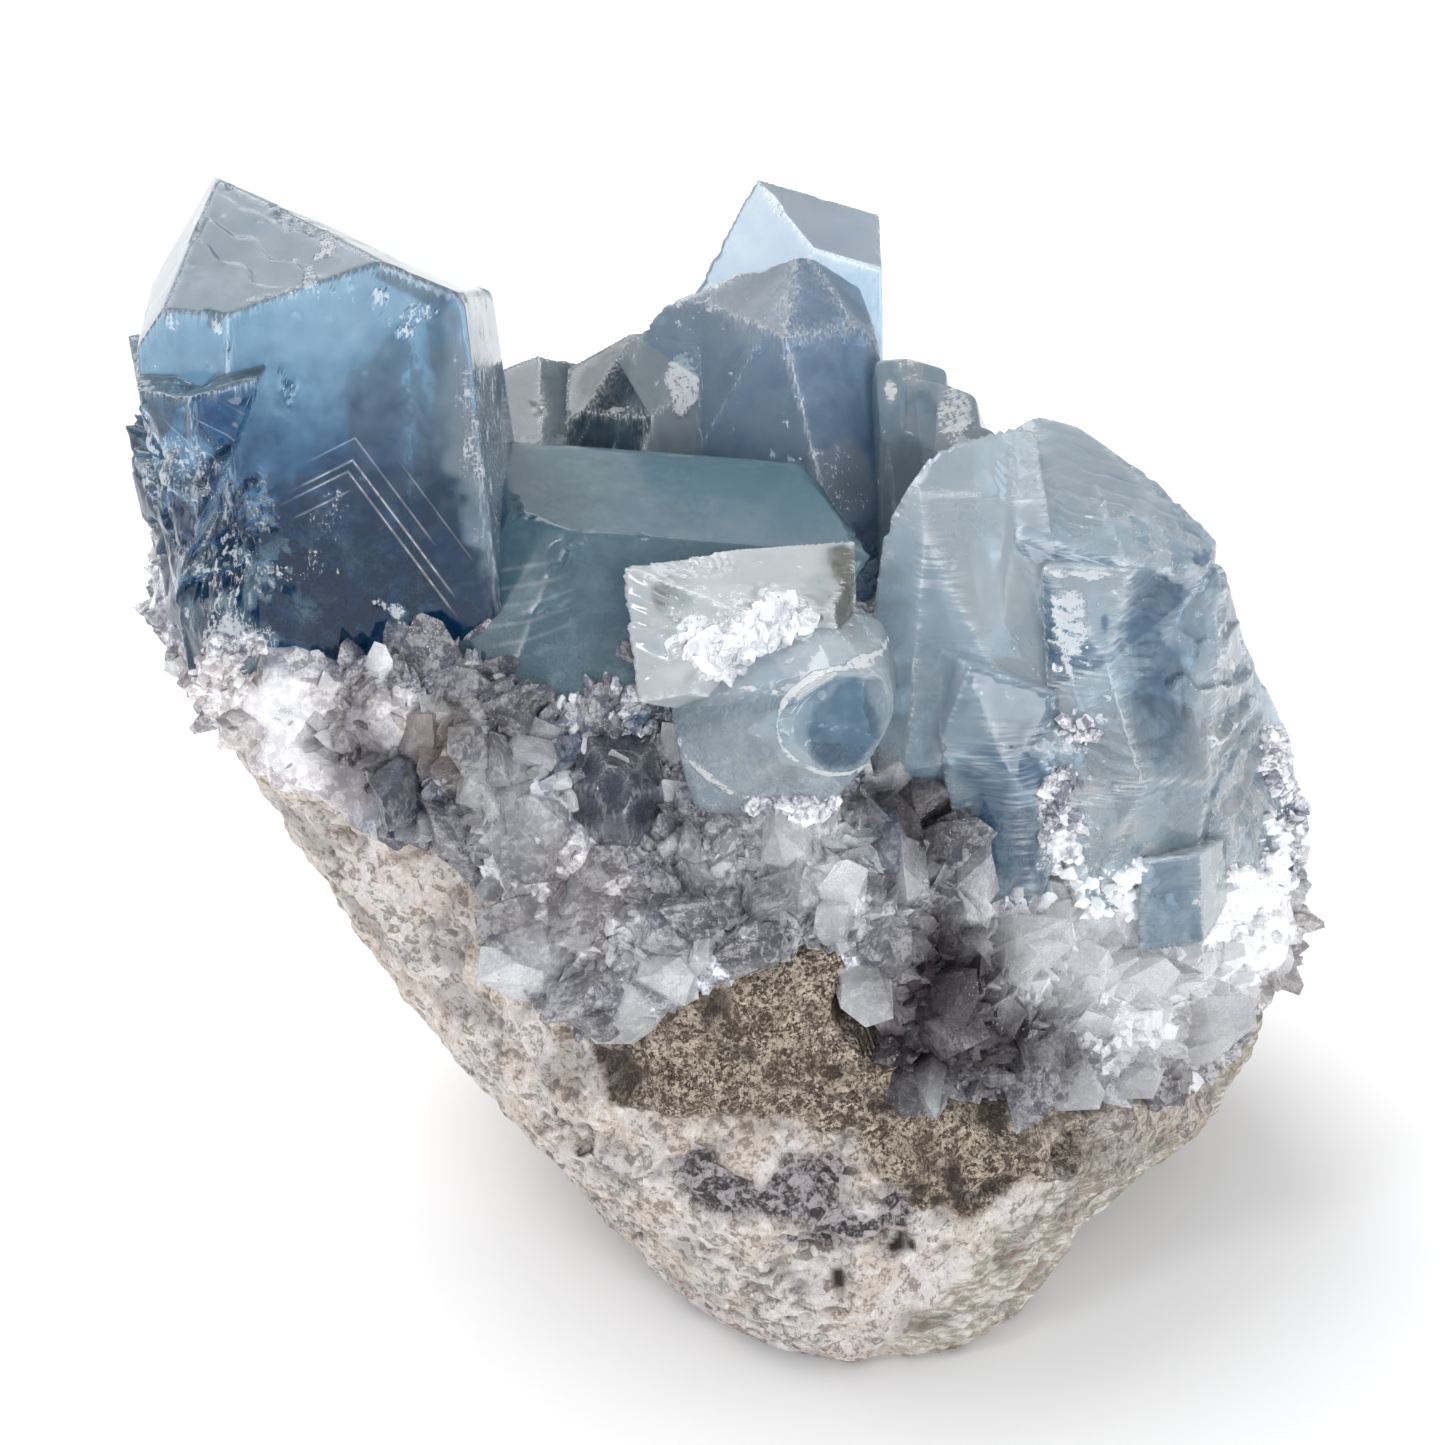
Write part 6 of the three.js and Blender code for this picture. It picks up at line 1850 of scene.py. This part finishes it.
# The great crystals: name, bodies, columns and rows of the grid, seed, haze, look, node, slot, and
# what else build_crystal takes.
CRYSTALS = [
    ("left_tall", [LEFT_TALL, LEFT_STEP, LEFT_FOOT], 440, 220, 101, 0.3, blue, "left_tall_crystal",
     "blue_crystal", dict(heart=[-28.2, -5.5, 51], shade=(42, 62, -0.7))),
    ("middle_wide", [MIDDLE_WIDE], 340, 140, 131, 0.15, teal, "middle_wide_crystal",
     "grey_blue_crystal", dict(shade=(37, 46, -0.25))),
    ("front_clear", [FRONT_CLEAR], 320, 160, 161, 0.25, clear, "front_clear_crystal",
     "clear_crystal", dict(steps=0.1)),
    ("front_rounded", [FRONT_ROUNDED], 320, 160, 191, 0.25, pale, "front_rounded_crystal",
     "pale_crystal", dict(rounding=22.0)),
    ("dark_dome", [DARK_DOME], 140, 70, 211, 0.05, smoky, "dark_dome_crystal", "smoky_crystal",
     dict(rounding=30.0)),
    ("right_green", [RIGHT_GREEN], 280, 140, 221, 0.2, pale, "right_crystal_mass", "pale_crystal",
     {}),
    ("right_slab", [RIGHT_SLAB], 280, 140, 241, 0.25, pale, "right_crystal_mass", "pale_crystal",
     dict(steps=0.12)),
    ("right_shell", [RIGHT_SHELL, RIGHT_WING], 440, 220, 261, 0.2, pale, "right_crystal_mass",
     "pale_crystal", dict(heart=[28, -2.5, 32])),
    ("right_foot", [RIGHT_FOOT], 220, 110, 281, 0.2, pale, "right_crystal_mass", "pale_crystal",
     dict(shade=(25, 38, -0.45), rounding=40.0)),
    ("right_window", [RIGHT_WINDOW], 110, 60, 291, 0.3, pale, "right_crystal_mass", "pale_crystal",
     {}),
    ("rear_front_twin", [REAR_FRONT_TWIN], 280, 140, 301, 0.25, rear_blue, "rear_twin_crystal",
     "blue_crystal", {}),
    ("rear_back_twin", [REAR_BACK_TWIN], 220, 120, 311, 0.5, rear_blue, "rear_twin_crystal",
     "blue_crystal", {}),
    ("left_rear_small", [LEFT_REAR_SMALL], 180, 90, 321, 0.2, green, "left_rear_small_crystal",
     "grey_blue_crystal", {}),
    ("far_left_small", [FAR_LEFT_SMALL], 120, 80, 331, 0.35, green, "far_left_small_crystal",
     "pale_crystal", {}),
    ("rear_bunch_a", [REAR_BUNCH[0]], 130, 90, 341, 0.8, pale, "right_rear_bunch", "pale_crystal",
     dict(rounding=14.0)),
    ("rear_bunch_b", [REAR_BUNCH[1]], 130, 90, 351, 0.8, pale, "right_rear_bunch", "pale_crystal",
     dict(rounding=14.0)),
    ("rear_bunch_c", [REAR_BUNCH[2]], 130, 90, 361, 0.8, pale, "right_rear_bunch", "pale_crystal",
     dict(rounding=14.0)),
    ("back_left", [BACK_LEFT], 180, 90, 371, 0.35, rear_blue, "back_left_crystal",
     "grey_blue_crystal", {}),
    ("back_right", [BACK_RIGHT], 180, 90, 381, 0.35, pale, "back_right_crystal", "pale_crystal",
     {}),
]

pieces = {}
for name, bodies, columns, rows, seed, haze, look, node, slot, others in CRYSTALS:
    piece = build_crystal(name, bodies, columns, rows, seed, haze, **others)
    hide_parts(node)
    wear(piece, look)
    pieces[name] = piece


def front_and_right(places):
    """Most on the front and the right, few before the dark dome, above the gap and under the great
    crystals."""
    from_axis = places[..., 0] - STONE_AXIS[0]
    bearing = np.degrees(np.arctan2(places[..., 1], from_axis)) % 360
    front = 0.3 + eased(bearing, 190, 218) * (1 - eased(bearing, 352, 359))
    front = front * (1 - 0.97 * patch(places, [-6.1, -19, 34.6], 4.3))
    front = front * (1 - 0.7 * eased(places[..., 0], 29, 33))
    front = front * (1 - 0.95 * patch(places, [9.3, -22, 23.6], [3.6, 4, 2.4]))
    return front * (1 - 0.9 * (np.hypot(from_axis, places[..., 1]) < 14))


def middle_of_front(places):
    """As above, but few near the outline at the left, the right and the back."""
    sides = (1 - eased(abs(places[..., 0] - 3), 21, 27)) * (1 - 0.9 * eased(places[..., 1], 2, 8))
    return front_and_right(places) * sides


# Druse crystals on the crust: name, how many, seed, least and greatest width, look and region.
DRUSE_POINTS = [
    ("druse_points_fine", 8200, 5, (0.45, 1.5), druse_point_look, front_and_right),
    ("druse_points_small", 3500, 7, (0.9, 2.2), druse_point_look, front_and_right),
    ("druse_points_large", 520, 6, (1.8, 4.8), druse_glass_look, middle_of_front),
]
POINT_LEAN, POINT_SMOKINESS = 0.42, 0.35
for name, count, seed, sizes, look, region in DRUSE_POINTS:
    chance = np.random.default_rng(seed)
    spots, ways = spots_on_crust(count, region, chance)
    points = druse_crystals(name, spots, ways, sizes, POINT_LEAN, POINT_SMOKINESS, 0.0, chance)
    wear(points, look)

# Frost crystals on the great crystals: the piece, how many, how much they lean at random, how
# white they are, and patches of (centre, radius).
FROST_SIZES = (0.2, 1.1)
FROST_SMOKINESS = 0.1
FROST_BITS = [
    ("left_tall", 800, 0.5, 0.0, [
        ([-28.5, -13.3, 40.6], [4, 3, 2.2]), ([-30.6, -12.6, 38.4], [4, 4, 2.6])]),
    ("middle_wide", 350, 0.5, 0.0, [
        ([-14, -12, 39.6], [4, 3, 1.6]), ([-6, -13, 38.6], [5, 3, 1.6])]),
    ("right_shell", 1800, 0.5, 0.0, [
        ([20, -15.4, 32], [1.6, 3, 5]), ([24, -15, 26.5], [5, 4, 2.6]),
        ([31, -10, 23], [5, 5, 3.4]), ([35, -2, 22], [3, 5, 4]),
        ([34.5, -3, 30], [1.4, 3, 4]), ([20.5, -15, 37.6], [1.6, 3, 1.6])]),
    ("right_foot", 350, 0.5, 0.0, [
        ([20, -15.2, 33], [1.4, 2, 6]), ([18, -16.2, 26.5], [2.6, 2, 1.8])]),
    ("front_rounded", 160, 0.5, 0.0, [([4.5, -20.6, 36.4], [4, 2, 1.3])]),
    ("front_clear", 420, 1.2, 0.5, [
        ([0.2, -16, 44.6], [3.2, 2, 1.6]), ([3.4, -15.6, 45.4], [2.6, 2, 1.6])]),
]
for owner, count, lean, whiteness, patches in FROST_BITS:
    chance = np.random.default_rng(len(owner) + count)
    spots, ways = spots_on_piece(pieces[owner], count, patches, chance)
    bits = druse_crystals(
        "frost_on_" + owner, spots, ways, FROST_SIZES, lean, FROST_SMOKINESS, whiteness, chance
    )
    wear(bits, white_frost_look)
